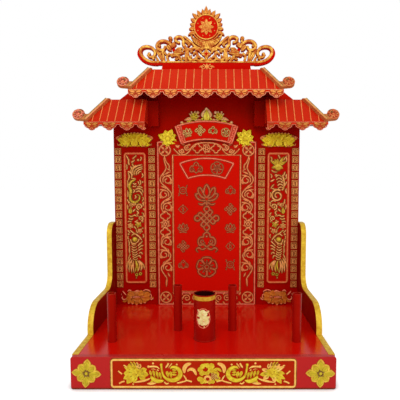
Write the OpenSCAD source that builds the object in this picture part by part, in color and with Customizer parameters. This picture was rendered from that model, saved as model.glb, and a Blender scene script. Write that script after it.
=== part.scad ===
// Table-top wooden shrine: a low offering deck between two side wings, a back
// wall with a carved panel and two columns, and a two-step roof with a crest.
// Front faces -Y, +Z is up, millimetres. The origin is at the middle of the
// underside of the whole thing's box. Depths are counted from the base's front.

/* [Base] */
// Width over the two side wings
base_w = 410; // [340:1:495]
// Depth from the front face to the back face of the wall
base_d = 277; // [230:1:335]
// Height of the offering deck
base_h = 52; // [43:0.1:63]
// Thickness of the front board and the deck
board_t = 9; // [6:1:12]
// Corner radius of the front board
front_corner_r = 4; // [2:1:8]
// Margin over and under the carved relief on the front board
relief_margin = 3; // [2:0.5:8]
// Distance between the relief and the medallions
relief_gap = 14.5; // [4:0.5:30]
// How far the relief stands proud
relief_t = 1.6; // [1:0.1:2.5]
// Margin over and under the round flower medallions
medallion_margin = 3; // [2:0.5:6]
// Distance from the medallions to the base's sides
medallion_inset = 1.5; // [1:0.5:8]
// Thickness of the medallions
medallion_t = 3; // [2:0.5:4]

/* [Side wings] */
// Thickness of the wing boards
wing_t = 10; // [8:0.5:12]
// Height of the wings over the deck, at the wall
wing_top_rise = 179; // [149:1:215]
// Height of the low front step of the wings over the deck
wing_step_rise = 50; // [41:1:60]
// Set-back of the low step from the base's front
wing_step_y = 90; // [40:1:108]
// Depth of the upper part in front of the wall
wing_upper_d = 34; // [28:1:50]
// Radius at the top front corner
wing_top_r = 24; // [10:1:30]
// Radius of the hollow between the two heights
wing_cove_r = 28; // [10:1:34]
// Radius at the front of the low step
wing_nose_r = 40; // [20:1:48]
// Thickness of the gilded edge strip
trim_t = 1.5; // [1:0.25:3]
// Height of the wings' front lip over the deck
lip_h = 0.6; // [0.2:0.1:3]

/* [Wall] */
// Thickness of the back wall
wall_t = 9; // [6:1:12]
// Height of the wall's outer corners over the side ridges, negative when under them
shoulder_rise = -5; // [-12:1:10]
// Distance from the side eaves down to the centre panel's top edge
panel_drop = 33; // [27:1:40]
// Thickness of the centre panel
panel_t = 4; // [3:0.5:6]

/* [Columns] */
// Margin between each column and the wall's edge
column_margin = 2; // [1:0.5:4]
// Gap between each column and the centre panel
column_gap = 4.6; // [2:0.2:8]
// Width of the carved column panel
column_panel_w = 45; // [37:1:54]
// Width of each fret strip
fret_w = 14; // [11:0.5:17]
// Gap between a fret strip and the column panel
fret_gap = 5.7; // [3:0.1:8]
// Distance from the fret strips' ends to the column panel's ends
column_end_gap = 11; // [6:1:20]
// Corner radius of the column panels
column_corner_r = 6; // [3:1:10]
// Thickness of the column panels and fret strips
column_t = 3; // [2:0.5:4]
// Thickness of the carved lotus pieces and flowers
lotus_t = 7; // [4:0.5:10]
// Width of the upper lotus
lotus_top_w = 78; // [60:1:82]
// Height of the upper lotus
lotus_top_h = 32; // [24:1:38]
// Width of the lower lotus
lotus_bottom_w = 74; // [60:1:80]
// Height of the lower lotus
lotus_bottom_h = 35; // [28:1:42]
// Gap between the fret strips and each lotus
lotus_gap = 1; // [0.5:0.1:2]
// Gap between the upper lotus and the side header
header_gap = 9; // [4:1:14]

/* [Fan plaque] */
// Outer radius of the fan
fan_r_out = 196; // [164:1:235]
// Width of the fan from its inner to its outer arc
fan_band = 40; // [34:1:48]
// Height of the fan's top over the centre panel's top edge
fan_rise = 42; // [38:1:46]
// Thickness of the plaque in front of the panel
plaque_t = 6; // [4:0.5:8]
// Distance from the fan's ends in to the ends of the leaf carving
leaf_inset = 10.5; // [8:0.1:20]
// Height of the leaf carving
leaf_h = 29; // [18:1:30]
// Radius of the two flowers beside the plaque
flower_r = 22; // [16:0.5:24]
// Distance from the flowers to the centre panel's sides
flower_inset = 1; // [1:0.5:5]
// Height of the flowers' centres over the panel's top edge
flower_rise = 5; // [4:0.5:12]
// Gap between the flowers and the plaque
plaque_gap = 0.6; // [0.4:0.1:4]

/* [Roofs] */
// Height of the side eaves' top edge, which sets the whole shrine's height
side_eave_h = 434; // [361:1:521]
// Rise of the side roofs from eave to ridge
side_rise = 47; // [39:1:57]
// Height from the side ridges to the centre eave's top edge
tier_gap = 15; // [12:1:22]
// Rise of the centre roof from eave to ridge
centre_rise = 44; // [37:1:53]
// Depth from the wall to the front of the eave boards
canopy_d = 66; // [55:1:80]
// How far each roof slope runs back from its eave
slope_run = 29; // [24:1:35]
// Thickness of the roof boards
roof_t = 5; // [3:0.5:6]
// How far the side eaves reach out past the wall
side_overhang = 42.5; // [35:0.5:51]
// How far the side ridges reach out past the wall
side_ridge_out = 3; // [0:0.5:8]
// Distance of the centre eave's ends in from the wall's sides
centre_eave_inset = 44.5; // [37:0.5:53]
// Distance of the centre ridge's ends in from the wall's sides
centre_ridge_inset = 81; // [68:1:97]
// Depth of the side headers in front of the wall
header_d = 22; // [14:1:27]
// How far the side headers reach in past the centre panel's sides
header_inset = 6; // [0:1:12]
// Length of header left showing at the side roofs' inner ends
header_reveal = 21; // [10:1:30]
// Thickness of the soffit boards
soffit_t = 4; // [3:0.5:5]

/* [Eave boards] */
// Thickness of the scalloped eave boards
eave_t = 5; // [3:0.5:6]
// Height of the straight band over the scallops
eave_band_h = 5.5; // [5:0.5:8]
// Height of one scallop
scallop_h = 10.8; // [8:0.2:13]
// Width of one scallop
scallop_w = 27.5; // [20:0.5:30]
// Distance from scallop to scallop
scallop_pitch = 34; // [31:0.5:41]

/* [Hip scrolls] */
// Width of the hip strip
hip_w = 6; // [4:0.5:8]
// Thickness of the hip scrolls over the roof slope
hip_t = 7; // [4:0.5:9]
// Height of the hips' level tops over their ridges
hip_rise = 1.5; // [0.5:0.5:4]
// Radius of the curl
curl_r = 12; // [10:0.5:15]
// Curl centre, outward of the eave's end
curl_out = 9.5; // [7:0.5:12]
// Curl centre, up the slope from the eave
curl_up = 13.5; // [12.5:0.5:20]

/* [Crest] */
// Thickness of the crest boards
crest_t = 12; // [8:1:14]
// Distance of the crest's front from the wall
crest_y = 22; // [16:1:30]
// Distance of the crest's foot in from the ridge's ends
crest_foot_inset = 25.5; // [10:0.5:40]
// Height of the crest's foot
crest_foot_h = 14; // [8:1:20]
// Thickness of the rail over the foot
rail_t = 6; // [4:0.5:8]
// Radius of the rail's end volutes
volute_r = 19.5; // [16:0.5:23.5]
// Distance of the volute centres out from the ridge's ends
volute_out = 4; // [0:1:10]
// Gap between the scrollwork and the volutes
scroll_gap = 19.6; // [10:0.1:24]
// Height of the disc's centre over the ridge
disc_up = 87; // [85:1:104]
// Radius of the disc
disc_r = 25; // [20.5:0.5:25]
// Reach of the flame points from the disc's centre
flame_r = 43; // [36:0.5:51.5]
// Number of flame points
flame_count = 15; // [9:2:19]

/* [Incense holders] */
// Outer radius of the incense tube
tube_r = 18.4; // [14:0.1:24]
// Height of the incense tube
tube_h = 79; // [60:1:100]
// Distance of the incense tube from the base's front
tube_y = 75; // [50:1:90]
// Wall thickness of the incense tube
tube_wall = 1.8; // [1:0.1:3]
// Outer radius of the slim holders
holder_r = 7.5; // [6:0.25:9]
// Height of the slim holders
holder_h = 82; // [60:1:100]
// Wall thickness of the slim holders
holder_wall = 1.5; // [1:0.1:2]
// Distance of the front holders from the wings
holder_front_inset = 40; // [20:1:60]
// Distance of the front holders from the base's front
holder_front_y = 62.5; // [40:0.5:80]
// Distance of the back holders from the middle
holder_back_x = 49; // [40:1:60]
// Distance of the back holders from the base's front
holder_back_y = 115.5; // [96:0.5:140]

/* [Hidden] */

LEFT = -1;
RIGHT = 1;
arc_steps = 12;
round_fn = 64;
lotus_petals = 7;
holder_floor = 3;
flame_spread = 240;
scroll_band = 5;
scroll_foot_h = 2;
disc_seat_x = 11;
disc_seat_h = 8;

// Depths from the base's front, and the base's front in the part's own frame
front_y = medallion_t / 2 - base_d / 2;
wall_y = base_d - wall_t;
panel_y = wall_y - panel_t;
canopy_y = wall_y - canopy_d;
header_y = wall_y - header_d;
wing_upper_y = wall_y - wing_upper_d;

// Heights, from the floor up
lip_z = base_h + lip_h;
wing_step_h = base_h + wing_step_rise;
wing_top_h = base_h + wing_top_rise;
nose_r = min(wing_nose_r, wing_step_rise - lip_h - 1);
header_low_h = side_eave_h - soffit_t;
lotus_top_z = header_low_h - header_gap - lotus_top_h;
fret_high = lotus_top_z - lotus_gap;
fret_low = base_h + lotus_bottom_h + 2 * lotus_gap;
column_panel_h = fret_high - fret_low - 2 * column_end_gap;
panel_top_h = side_eave_h - panel_drop;
flower_z = panel_top_h + flower_rise;
fan_z = panel_top_h + fan_rise - fan_r_out;
side_ridge_h = side_eave_h + side_rise;
shoulder_h = side_ridge_h + shoulder_rise;
centre_eave_h = side_ridge_h + tier_gap;
ridge_h = centre_eave_h + centre_rise;
rail_z = ridge_h + crest_foot_h;
scroll_z = rail_z + rail_t;
disc_z = ridge_h + disc_up;
seat_z = disc_z - disc_r - 1;

// Distances from the middle, and widths
inner_x = base_w / 2 - wing_t;
medallion_r = base_h / 2 - medallion_margin;
medallion_x = base_w / 2 - medallion_inset - medallion_r;
relief_w = 2 * (medallion_x - medallion_r - relief_gap);
relief_h = base_h - 2 * relief_margin;
column_w = column_panel_w + 2 * (fret_gap + fret_w);
column_x = inner_x - column_margin - column_w / 2;
fret_x = (column_w - fret_w) / 2;
panel_w = 2 * (column_x - column_w / 2 - column_gap);
flower_x = panel_w / 2 - flower_inset - flower_r;
fan_half_angle = atan2(flower_x, flower_z - fan_z)
    - asin((flower_r + plaque_gap) / norm([flower_x, flower_z - fan_z]));
leaf_x = fan_r_out * sin(fan_half_angle) - leaf_inset;
header_x = panel_w / 2 - header_inset;
side_inner_x = header_x + header_reveal;
side_eave_x = inner_x + side_overhang;
side_ridge_x = inner_x + side_ridge_out;
centre_eave_x = inner_x - centre_eave_inset;
centre_ridge_x = inner_x - centre_ridge_inset;
crest_foot_x = centre_ridge_x - crest_foot_inset;
volute_x = centre_ridge_x + volute_out;
scroll_x = volute_x - scroll_gap;

// ---- placing helpers ----

// Outline in X and Z, given thickness, its front at depth y0 from the base's front
module board_xz(y0, t)
    translate([0, front_y + y0 + t, 0]) rotate([90, 0, 0]) linear_extrude(t) children();

// Outline in depth and Z, given thickness, from x0 outwards
module board_yz(x0, t)
    translate([x0, front_y, 0]) rotate([90, 0, 90]) linear_extrude(t) children();

module on_side(side)
    if (side < 0) mirror([1, 0, 0]) children(); else children();

// Flat carving whose lower part lies on the centre panel and whose upper part
// reaches back to the wall over the panel's top edge
module over_panel_edge(t) {
    board_xz(panel_y - t, t) children();
    board_xz(panel_y, panel_t) intersection() {
        children();
        translate([-inner_x, panel_top_h]) square([2 * inner_x, ridge_h]);
    }
}

function arc(c, r, a0, a1) =
    [for (i = [0:arc_steps]) let (a = a0 + (a1 - a0) * i / arc_steps) c + r * [cos(a), sin(a)]];

module rounded_rect(w, h, r)
    polygon(concat(
        arc([w / 2 - r, h / 2 - r], r, 0, 90),
        arc([r - w / 2, h / 2 - r], r, 90, 180),
        arc([r - w / 2, r - h / 2], r, 180, 270),
        arc([w / 2 - r, r - h / 2], r, 270, 360)));

// ---- base ----

module base_front_board()
    color("firebrick") board_xz(0, board_t)
        translate([0, base_h / 2]) rounded_rect(base_w, base_h, front_corner_r);

module base_front_relief()
    color("goldenrod") board_xz(-relief_t, relief_t)
        translate([0, base_h / 2]) rounded_rect(relief_w, relief_h, relief_h / 5);

module flower_outline(r, lobes) {
    circle(r * 0.8, $fn = round_fn);
    for (i = [0:lobes - 1]) rotate(i * 360 / lobes)
        translate([r * 0.7, 0]) circle(r * 0.3, $fn = round_fn);
}

module base_medallion(side)
    color("gold") board_xz(-medallion_t, medallion_t)
        translate([side * medallion_x, base_h / 2]) flower_outline(medallion_r, 8);

module deck_board()
    color("red") translate([-inner_x, front_y + board_t, base_h - board_t])
        cube([2 * inner_x, wall_y - board_t, board_t]);

// ---- side wings ----

// Upper edge of a wing from the wall's back to the base's front, moved inwards
// by inset all along
function wing_edge(inset) = concat(
    [[base_d, wing_top_h - inset]],
    arc([wing_upper_y + wing_top_r, wing_top_h - wing_top_r], wing_top_r - inset, 90, 180),
    arc([wing_upper_y - wing_cove_r, wing_step_h + wing_cove_r], wing_cove_r + inset, 0, -90),
    arc([wing_step_y + nose_r, wing_step_h - nose_r], nose_r - inset, 90, 180),
    [[wing_step_y + inset, lip_z - inset], [board_t, lip_z - inset]]);

module wing_outline(inset)
    polygon(concat(wing_edge(inset), [[board_t, 0], [base_d, 0]]));

module wing(side)
    color("darkred") on_side(side) board_yz(inner_x, wing_t) wing_outline(trim_t);

module wing_trim(side)
    color("gold") on_side(side) board_yz(inner_x, wing_t) difference() {
        wing_outline(0);
        wing_outline(trim_t);
    }

// ---- back wall and its panels ----

module back_wall()
    color("darkred") board_xz(wall_y, wall_t) polygon([
        [-inner_x, 0], [inner_x, 0], [inner_x, shoulder_h],
        [centre_ridge_x - 2, ridge_h], [2 - centre_ridge_x, ridge_h], [-inner_x, shoulder_h]]);

module centre_panel()
    color("red") board_xz(panel_y, panel_t)
        translate([-panel_w / 2, base_h]) square([panel_w, panel_top_h - base_h]);

module fan_outline()
    translate([0, fan_z]) difference() {
        intersection() {
            circle(fan_r_out, $fn = round_fn * 2);
            polygon([[0, 0], 2 * fan_r_out * [-sin(fan_half_angle), cos(fan_half_angle)],
                2 * fan_r_out * [sin(fan_half_angle), cos(fan_half_angle)]]);
        }
        circle(fan_r_out - fan_band, $fn = round_fn * 2);
    }

module plaque()
    color("orangered") over_panel_edge(plaque_t) fan_outline();

// Row of leaves that sits on the plaque's curved top edge
module plaque_leaf_carving()
    color("gold") board_xz(wall_y - lotus_t, lotus_t) translate([0, fan_z]) difference() {
        translate([0, fan_r_out]) polygon([
            [-leaf_x, -leaf_h * 0.5], [-leaf_x, -leaf_h * 0.05], [-leaf_x * 0.55, leaf_h * 0.5],
            [-leaf_x * 0.2, leaf_h * 0.6], [0, leaf_h * 0.95], [leaf_x * 0.2, leaf_h * 0.6],
            [leaf_x * 0.55, leaf_h * 0.5], [leaf_x, -leaf_h * 0.05], [leaf_x, -leaf_h * 0.5]]);
        circle(fan_r_out, $fn = round_fn * 2);
    }

module plaque_flower(side)
    color("gold") over_panel_edge(lotus_t)
        translate([side * flower_x, flower_z]) flower_outline(flower_r, 8);

module column_panel(side)
    color("firebrick") board_xz(wall_y - column_t, column_t)
        translate([side * column_x, (fret_low + fret_high) / 2])
            rounded_rect(column_panel_w, column_panel_h, column_corner_r);

module fret_strips(side)
    color("peru") for (off = [-fret_x, fret_x])
        translate([side * column_x + off - fret_w / 2, front_y + wall_y - column_t, fret_low])
            cube([fret_w, column_t, fret_high - fret_low]);

// Petal points side by side, highest in the middle, on a narrower flat foot
module lotus_outline(w, h) {
    step = w / lotus_petals;
    last = (lotus_petals - 1) / 2;
    polygon(concat([[-w * 0.4, 0], [w * 0.4, 0], [w / 2, h * 0.5]],
        [for (off = [last:-1:-last]) each [
            [off * step, h * (1 - 0.09 * abs(off))], [(off - 0.5) * step, h * 0.5]]]));
}

module lotus_top(side)
    color("gold") board_xz(wall_y - lotus_t, lotus_t)
        translate([side * column_x, lotus_top_z]) lotus_outline(lotus_top_w, lotus_top_h);

module lotus_bottom(side)
    color("darkorange") board_xz(wall_y - lotus_t, lotus_t)
        translate([side * column_x, base_h])
            lotus_outline(lotus_bottom_w, lotus_bottom_h);

// ---- roofs ----

// Side view of a roof hood: slope, flat top and back, board thickness taken off
// all round by inset. The hood is open underneath.
module hood_side(low, high, back, inset) {
    run = slope_run * (high - low - inset) / (high - low);
    lean = inset * sqrt(slope_run ^ 2 + (high - low) ^ 2) / (high - low);
    polygon([[canopy_y + lean, low], [canopy_y + lean + run, high - inset],
        [back - inset, high - inset], [back - inset, low]]);
}

// Front view of a roof hood between its left and right ends, low and high
module hood_front(low, high, left_low, left_high, right_low, right_high)
    polygon([[left_low, low], [right_low, low], [right_high, high], [left_high, high]]);

module hood(low, high, back, left_low, left_high, right_low, right_high) {
    difference() {
        hood_block(low, high, back, 0, left_low, left_high, right_low, right_high);
        hood_block(low, high, back, roof_t, left_low + roof_t, left_high + roof_t,
            right_low - roof_t, right_high - roof_t);
    }
}

module hood_block(low, high, back, inset, left_low, left_high, right_low, right_high)
    intersection() {
        board_yz(left_low, right_low - left_low) hood_side(low, high, back, inset);
        board_xz(canopy_y, back - canopy_y)
            hood_front(low, high, left_low, left_high, right_low, right_high);
    }

module centre_roof()
    color("orangered") hood(centre_eave_h, ridge_h, wall_y,
        -centre_eave_x, -centre_ridge_x, centre_eave_x, centre_ridge_x);

module side_roof(side)
    color("orangered") on_side(side) hood(side_eave_h, side_ridge_h, header_y,
        side_inner_x, side_inner_x, side_eave_x, side_ridge_x);

module side_header(side)
    color("darkred") on_side(side)
        translate([header_x, front_y + header_y, header_low_h])
            cube([inner_x - header_x, header_d, side_ridge_h - header_low_h]);

module soffit(left, right, eave_h, back)
    translate([left, front_y + canopy_y + eave_t, eave_h - soffit_t])
        cube([right - left, back - canopy_y - eave_t, soffit_t]);

module roof_soffits()
    color("maroon") {
        soffit(-centre_eave_x, centre_eave_x, centre_eave_h, wall_y);
        for (side = [LEFT, RIGHT]) on_side(side)
            soffit(side_inner_x, side_eave_x, side_eave_h, header_y);
    }

// One hanging cloud-shaped scallop, its top edge on the X axis
module scallop()
    polygon([[-scallop_w * 0.5, 0], [-scallop_w * 0.44, -scallop_h * 0.24],
        [-scallop_w * 0.3, -scallop_h * 0.5], [-scallop_w * 0.17, -scallop_h * 0.66],
        [-scallop_w * 0.1, -scallop_h * 0.86], [0, -scallop_h],
        [scallop_w * 0.1, -scallop_h * 0.86], [scallop_w * 0.17, -scallop_h * 0.66],
        [scallop_w * 0.3, -scallop_h * 0.5], [scallop_w * 0.44, -scallop_h * 0.24],
        [scallop_w * 0.5, 0]]);

// Eave board from left to right, with scallops at every pitch from first on
module eave(left, right, first, top) {
    count = floor((right - first) / scallop_pitch);
    board_xz(canopy_y, eave_t) intersection() {
        union() {
            translate([left, top - eave_band_h]) square([right - left, eave_band_h]);
            for (i = [0:count])
                translate([first + i * scallop_pitch, top - eave_band_h]) scallop();
        }
        translate([left, top - eave_band_h - scallop_h])
            square([right - left, eave_band_h + scallop_h]);
    }
}

module centre_eave() {
    half_count = floor((centre_eave_x - scallop_w / 2) / scallop_pitch);
    color("chocolate")
        eave(-centre_eave_x, centre_eave_x, -half_count * scallop_pitch, centre_eave_h);
}

module side_eave(side)
    color("chocolate") on_side(side)
        eave(side_inner_x, side_eave_x, side_inner_x + 0.5, side_eave_h);

// Strip along a roof's slanted end, with a curl beyond the eave, lying on the slope
module hip(low, high, eave_x, ridge_x) {
    slope_l = sqrt(slope_run ^ 2 + (high - low) ^ 2);
    lean = atan2(slope_l, eave_x - ridge_x);
    strip = hip_w / sin(lean);
    curl = [eave_x + curl_out, curl_up];
    difference() {
        translate([0, front_y + canopy_y, low])
            rotate([atan2(high - low, slope_run), 0, 0]) linear_extrude(hip_t) {
                polygon([[eave_x - strip, 0], [eave_x, 0], [ridge_x, slope_l],
                    [ridge_x - strip, slope_l]]);
                polygon([[eave_x - strip * 0.5, 0], curl - [0, curl_r], curl,
                    [eave_x - (eave_x - ridge_x) * curl_up / slope_l - strip * 0.5, curl_up]]);
                difference() {
                    translate(curl) circle(curl_r, $fn = round_fn);
                    translate(curl) circle(curl_r / 5, $fn = round_fn);
                }
            }
        translate([ridge_x - strip - 1, front_y + canopy_y, high + hip_rise])
            cube([eave_x - ridge_x, 2 * slope_run, hip_t]);
    }
}

module centre_hip(side)
    color("tan") on_side(side) hip(centre_eave_h, ridge_h, centre_eave_x, centre_ridge_x);

module side_hip(side)
    color("tan") on_side(side) hip(side_eave_h, side_ridge_h, side_eave_x, side_ridge_x);

// ---- crest ----

module ring(c, r, band)
    translate(c) difference() {
        circle(r, $fn = round_fn);
        circle(r - band, $fn = round_fn);
    }

// Foot and the rail over it, whose ends turn up into volutes
module crest_base()
    color("crimson") board_xz(wall_y - crest_y, crest_t) {
        translate([-crest_foot_x, ridge_h]) square([2 * crest_foot_x, crest_foot_h]);
        translate([-volute_x, rail_z]) square([2 * volute_x, rail_t]);
        for (side = [LEFT, RIGHT]) intersection() {
            ring([side * volute_x, rail_z + volute_r], volute_r, rail_t);
            translate([side * (volute_x + volute_r), rail_z + volute_r])
                square(2 * volute_r, center = true);
        }
    }

// Openwork of touching rings between the rail and the disc
module crest_scrollwork() {
    big_r = (seat_z - scroll_z) / 2;
    end_r = big_r * 0.7;
    color("goldenrod") board_xz(wall_y - crest_y, crest_t) {
        translate([-scroll_x, scroll_z]) square([2 * scroll_x, scroll_foot_h]);
        translate([-disc_seat_x, seat_z - disc_seat_h]) square([2 * disc_seat_x, disc_seat_h]);
        for (side = [LEFT, RIGHT]) {
            for (share = [0.19, 0.54])
                ring([side * scroll_x * share, scroll_z + big_r], big_r, scroll_band);
            ring([side * (scroll_x - end_r), scroll_z + end_r], end_r, scroll_band);
        }
    }
}

module crest_medallion() {
    last = (flame_count - 1) / 2;
    color("orange") board_xz(wall_y - crest_y, crest_t) translate([0, disc_z]) {
        circle(disc_r, $fn = round_fn);
        translate([-disc_seat_x, seat_z - disc_z]) square([2 * disc_seat_x, disc_r]);
        for (i = [-last:last]) rotate(90 + i * flame_spread / last / 2)
            polygon([[disc_r * 0.9, -disc_r * 0.2], [flame_r - abs(i) * 0.6, 0],
                [disc_r * 0.9, disc_r * 0.2]]);
    }
}

// ---- incense tube and slim holders ----

module open_tube(x, y, r, h, wall)
    translate([x, front_y + y, base_h]) difference() {
        cylinder(h = h, r = r, $fn = round_fn);
        translate([0, 0, holder_floor]) cylinder(h = h, r = r - wall, $fn = round_fn);
    }

module incense_tube()
    color("red") open_tube(0, tube_y, tube_r, tube_h, tube_wall);

module holder(x, y)
    color("brown") open_tube(x, y, holder_r, holder_h, holder_wall);

base_front_board();
base_front_relief();
base_medallion(LEFT);  // base_medallion_left
base_medallion(RIGHT);  // base_medallion_right
deck_board();
wing(LEFT);  // wing_left
wing(RIGHT);  // wing_right
wing_trim(LEFT);  // wing_trim_left
wing_trim(RIGHT);  // wing_trim_right
back_wall();
centre_panel();
plaque();
plaque_leaf_carving();
plaque_flower(LEFT);  // plaque_flower_left
plaque_flower(RIGHT);  // plaque_flower_right
column_panel(LEFT);  // column_panel_left
column_panel(RIGHT);  // column_panel_right
fret_strips(LEFT);  // fret_strips_left
fret_strips(RIGHT);  // fret_strips_right
lotus_top(LEFT);  // lotus_top_left
lotus_top(RIGHT);  // lotus_top_right
lotus_bottom(LEFT);  // lotus_bottom_left
lotus_bottom(RIGHT);  // lotus_bottom_right
side_header(LEFT);  // side_header_left
side_header(RIGHT);  // side_header_right
roof_soffits();
side_roof(LEFT);  // side_roof_left
side_roof(RIGHT);  // side_roof_right
side_eave(LEFT);  // side_eave_left
side_eave(RIGHT);  // side_eave_right
side_hip(LEFT);  // side_hip_left
side_hip(RIGHT);  // side_hip_right
centre_roof();
centre_eave();
centre_hip(LEFT);  // centre_hip_left
centre_hip(RIGHT);  // centre_hip_right
crest_base();
crest_scrollwork();
crest_medallion();
incense_tube();
holder(holder_front_inset - inner_x, holder_front_y);  // holder_front_left
holder(inner_x - holder_front_inset, holder_front_y);  // holder_front_right
holder(-holder_back_x, holder_back_y);  // holder_back_left
holder(holder_back_x, holder_back_y);  // holder_back_right
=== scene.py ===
"""Looks of the table-top shrine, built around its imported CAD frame.

Carvings are drawn in millimetres on flat faces; everything in Blender is in metres.
"""

import contextlib
import math
import random

import bmesh
import bpy
from mathutils import Matrix, Vector


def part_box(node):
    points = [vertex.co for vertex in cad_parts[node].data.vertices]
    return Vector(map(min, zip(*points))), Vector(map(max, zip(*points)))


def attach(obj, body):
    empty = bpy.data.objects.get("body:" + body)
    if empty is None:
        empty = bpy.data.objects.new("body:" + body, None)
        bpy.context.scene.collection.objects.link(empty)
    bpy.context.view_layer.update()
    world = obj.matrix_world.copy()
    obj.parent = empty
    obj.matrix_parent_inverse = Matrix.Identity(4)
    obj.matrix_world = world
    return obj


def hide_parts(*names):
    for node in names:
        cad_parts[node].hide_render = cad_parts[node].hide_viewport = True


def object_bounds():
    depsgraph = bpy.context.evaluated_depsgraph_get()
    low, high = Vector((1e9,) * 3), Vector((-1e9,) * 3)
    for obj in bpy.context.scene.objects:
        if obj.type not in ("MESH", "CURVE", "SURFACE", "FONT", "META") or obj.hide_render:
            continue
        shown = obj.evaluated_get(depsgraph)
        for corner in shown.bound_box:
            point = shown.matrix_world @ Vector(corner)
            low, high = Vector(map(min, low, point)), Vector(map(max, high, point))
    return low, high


MM = 0.001
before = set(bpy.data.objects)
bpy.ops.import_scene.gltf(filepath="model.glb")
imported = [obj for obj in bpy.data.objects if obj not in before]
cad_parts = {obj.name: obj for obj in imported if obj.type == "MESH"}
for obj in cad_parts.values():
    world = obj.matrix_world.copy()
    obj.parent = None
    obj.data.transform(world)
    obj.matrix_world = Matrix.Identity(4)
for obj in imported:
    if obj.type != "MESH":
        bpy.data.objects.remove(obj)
cad_low, cad_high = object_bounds()
scene = bpy.context.scene
rnd = random.Random(8)


def box(node):
    """Lowest corner, highest corner, middle and half size of a CAD node, in millimetres."""
    low, high = ([c / MM for c in corner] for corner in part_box(node))
    pairs = list(zip(low, high))
    return low, high, [(a + b) / 2 for a, b in pairs], [(b - a) / 2 for a, b in pairs]


# ---------------------------------------------------------------- lines

def smooth(points, step=1.6):
    """Catmull-Rom line through the points, with a sample about every step."""
    last = len(points) - 1
    out = []
    for i in range(last):
        p = [points[min(max(i + k, 0), last)] for k in (-1, 0, 1, 2)]
        parts = max(1, round(math.dist(p[1], p[2]) / step))
        for t in (k / parts for k in range(parts)):
            out.append(tuple(
                0.5 * (2 * b + (c - a) * t + (2 * a - 5 * b + 4 * c - d) * t * t
                       + (3 * b - a - 3 * c + d) * t ** 3)
                for a, b, c, d in zip(*p)))
    return out + [tuple(points[-1])]


def polar(radius, degrees):
    """Point on a circle about the origin."""
    angle = math.radians(degrees)
    return radius * math.cos(angle), radius * math.sin(angle)


def move(line, u, v):
    """The line, shifted by u and v."""
    return [(u + a, v + b) for a, b in line]


def arc(u, v, radius, start, end, count=12):
    """Points on a circle, angles in degrees."""
    return move([polar(radius, start + (end - start) * i / count) for i in range(count + 1)], u, v)


def circle(radius, count=20, u=0.0, v=0.0):
    """Closed line of count points."""
    return arc(u, v, radius, 0, 360 - 360 / count, count - 1)


def oblong(half_w, half_h):
    """Closed outline of a rectangle about the origin."""
    return [(-half_w, -half_h), (half_w, -half_h), (half_w, half_h), (-half_w, half_h)]


def rounded(half_w, half_h, radius, count=5):
    """Closed outline of a rounded rectangle about the origin."""
    w, h = half_w - radius, half_h - radius
    corners = ((w, h), (-w, h), (-w, -h), (w, -h))
    return [p for k, (u, v) in enumerate(corners)
            for p in arc(u, v, radius, 90 * k, 90 * k + 90, count)]


def spiral(radius, turns, start=0.0, inner=0.2, count=22):
    """Line that winds in from radius to inner times radius, anticlockwise from start."""
    return [polar(radius * (1 - (1 - inner) * i / count), start + 360 * turns * i / count)
            for i in range(count + 1)]


def swell(least, more, power=1.0, end=1.0):
    """Width along a stroke: least at its ends and more than that in between."""
    return lambda s: least + more * max(0.0, math.sin(math.pi * min(1.0, s * end))) ** power


# ---------------------------------------------------------------- carving kit

def section(*left):
    """Section across a stroke, from its left half: places from edge to middle, and the
    share of the height there. The low rim takes the ground colour, a dark line of painted shade
    round the gilding."""
    return left + tuple((-place, share) for place, share in reversed(left))


ROUND = section((-1, 0), (-0.78, 0.12), (-0.66, 0.75), (-0.3, 0.97))
FLAT = section((-1, 0), (-0.9, 0.9), (-0.84, 1))
VEIN = section((-1, 0), (-0.84, 0.12), (-0.74, 0.85), (-0.4, 1), (-0.12, 0.5))
CUP = section((-1, 0), (-0.9, 0.15), (-0.82, 0.95), (-0.64, 1), (-0.28, 0.62))
GROOVE = section((-1, 0), (-0.82, 0.1), (-0.76, 1), (-0.56, 1), (-0.44, 0.42))

FOOT = 0.05           # height of a stroke's foot over its base
MAX_LIFT = 0.15       # added at random, so that strokes that cross don't lie in one plane
LEAST_RISE = 0.02     # height over the foot that the lowest part of a section has
SINK = 0.3            # how far carving reaches into the face it lies on
POINT = 0.12          # share of its width that a tapered end keeps
PLATE_RISE = 0.6      # how high in the carving a plate counts as, for its colour


def add_piece(name, verts, faces, materials, sharp, nodes=(), rise=None, slots=None):
    """Object made of closed shells; it stands for the CAD nodes named."""
    mesh = bpy.data.meshes.new(name)
    mesh.from_pydata(verts, [], faces)
    if rise:
        mesh.attributes.new("rise", "FLOAT", "POINT").data.foreach_set("value", rise)
        mesh.polygons.foreach_set("material_index", slots)
    for material in materials:
        mesh.materials.append(looks[material])
    work = bmesh.new()
    work.from_mesh(mesh)
    bmesh.ops.recalc_face_normals(work, faces=work.faces)
    work.to_mesh(mesh)
    work.free()
    mesh.shade_smooth()
    mesh.set_sharp_from_angle(angle=math.radians(sharp))
    piece = bpy.data.objects.new(name, mesh)
    scene.collection.objects.link(piece)
    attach(piece, "root")
    if nodes:
        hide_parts(*nodes)


def lathe(name, profile, centre, material, sides=48):
    """Ring turned from a closed profile of radius and height."""
    verts, faces = [], []
    size = len(profile)
    for k in range(sides):
        a, j = 2 * math.pi * k / sides, (k + 1) % sides
        for i, (r, z) in enumerate(profile):
            n = (i + 1) % size
            verts.append(((centre[0] + r * math.cos(a)) * MM,
                          (centre[1] + r * math.sin(a)) * MM, z * MM))
            faces.append((k * size + i, j * size + i, j * size + n, k * size + n))
    add_piece(name, verts, faces, [material], sharp=40)


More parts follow.
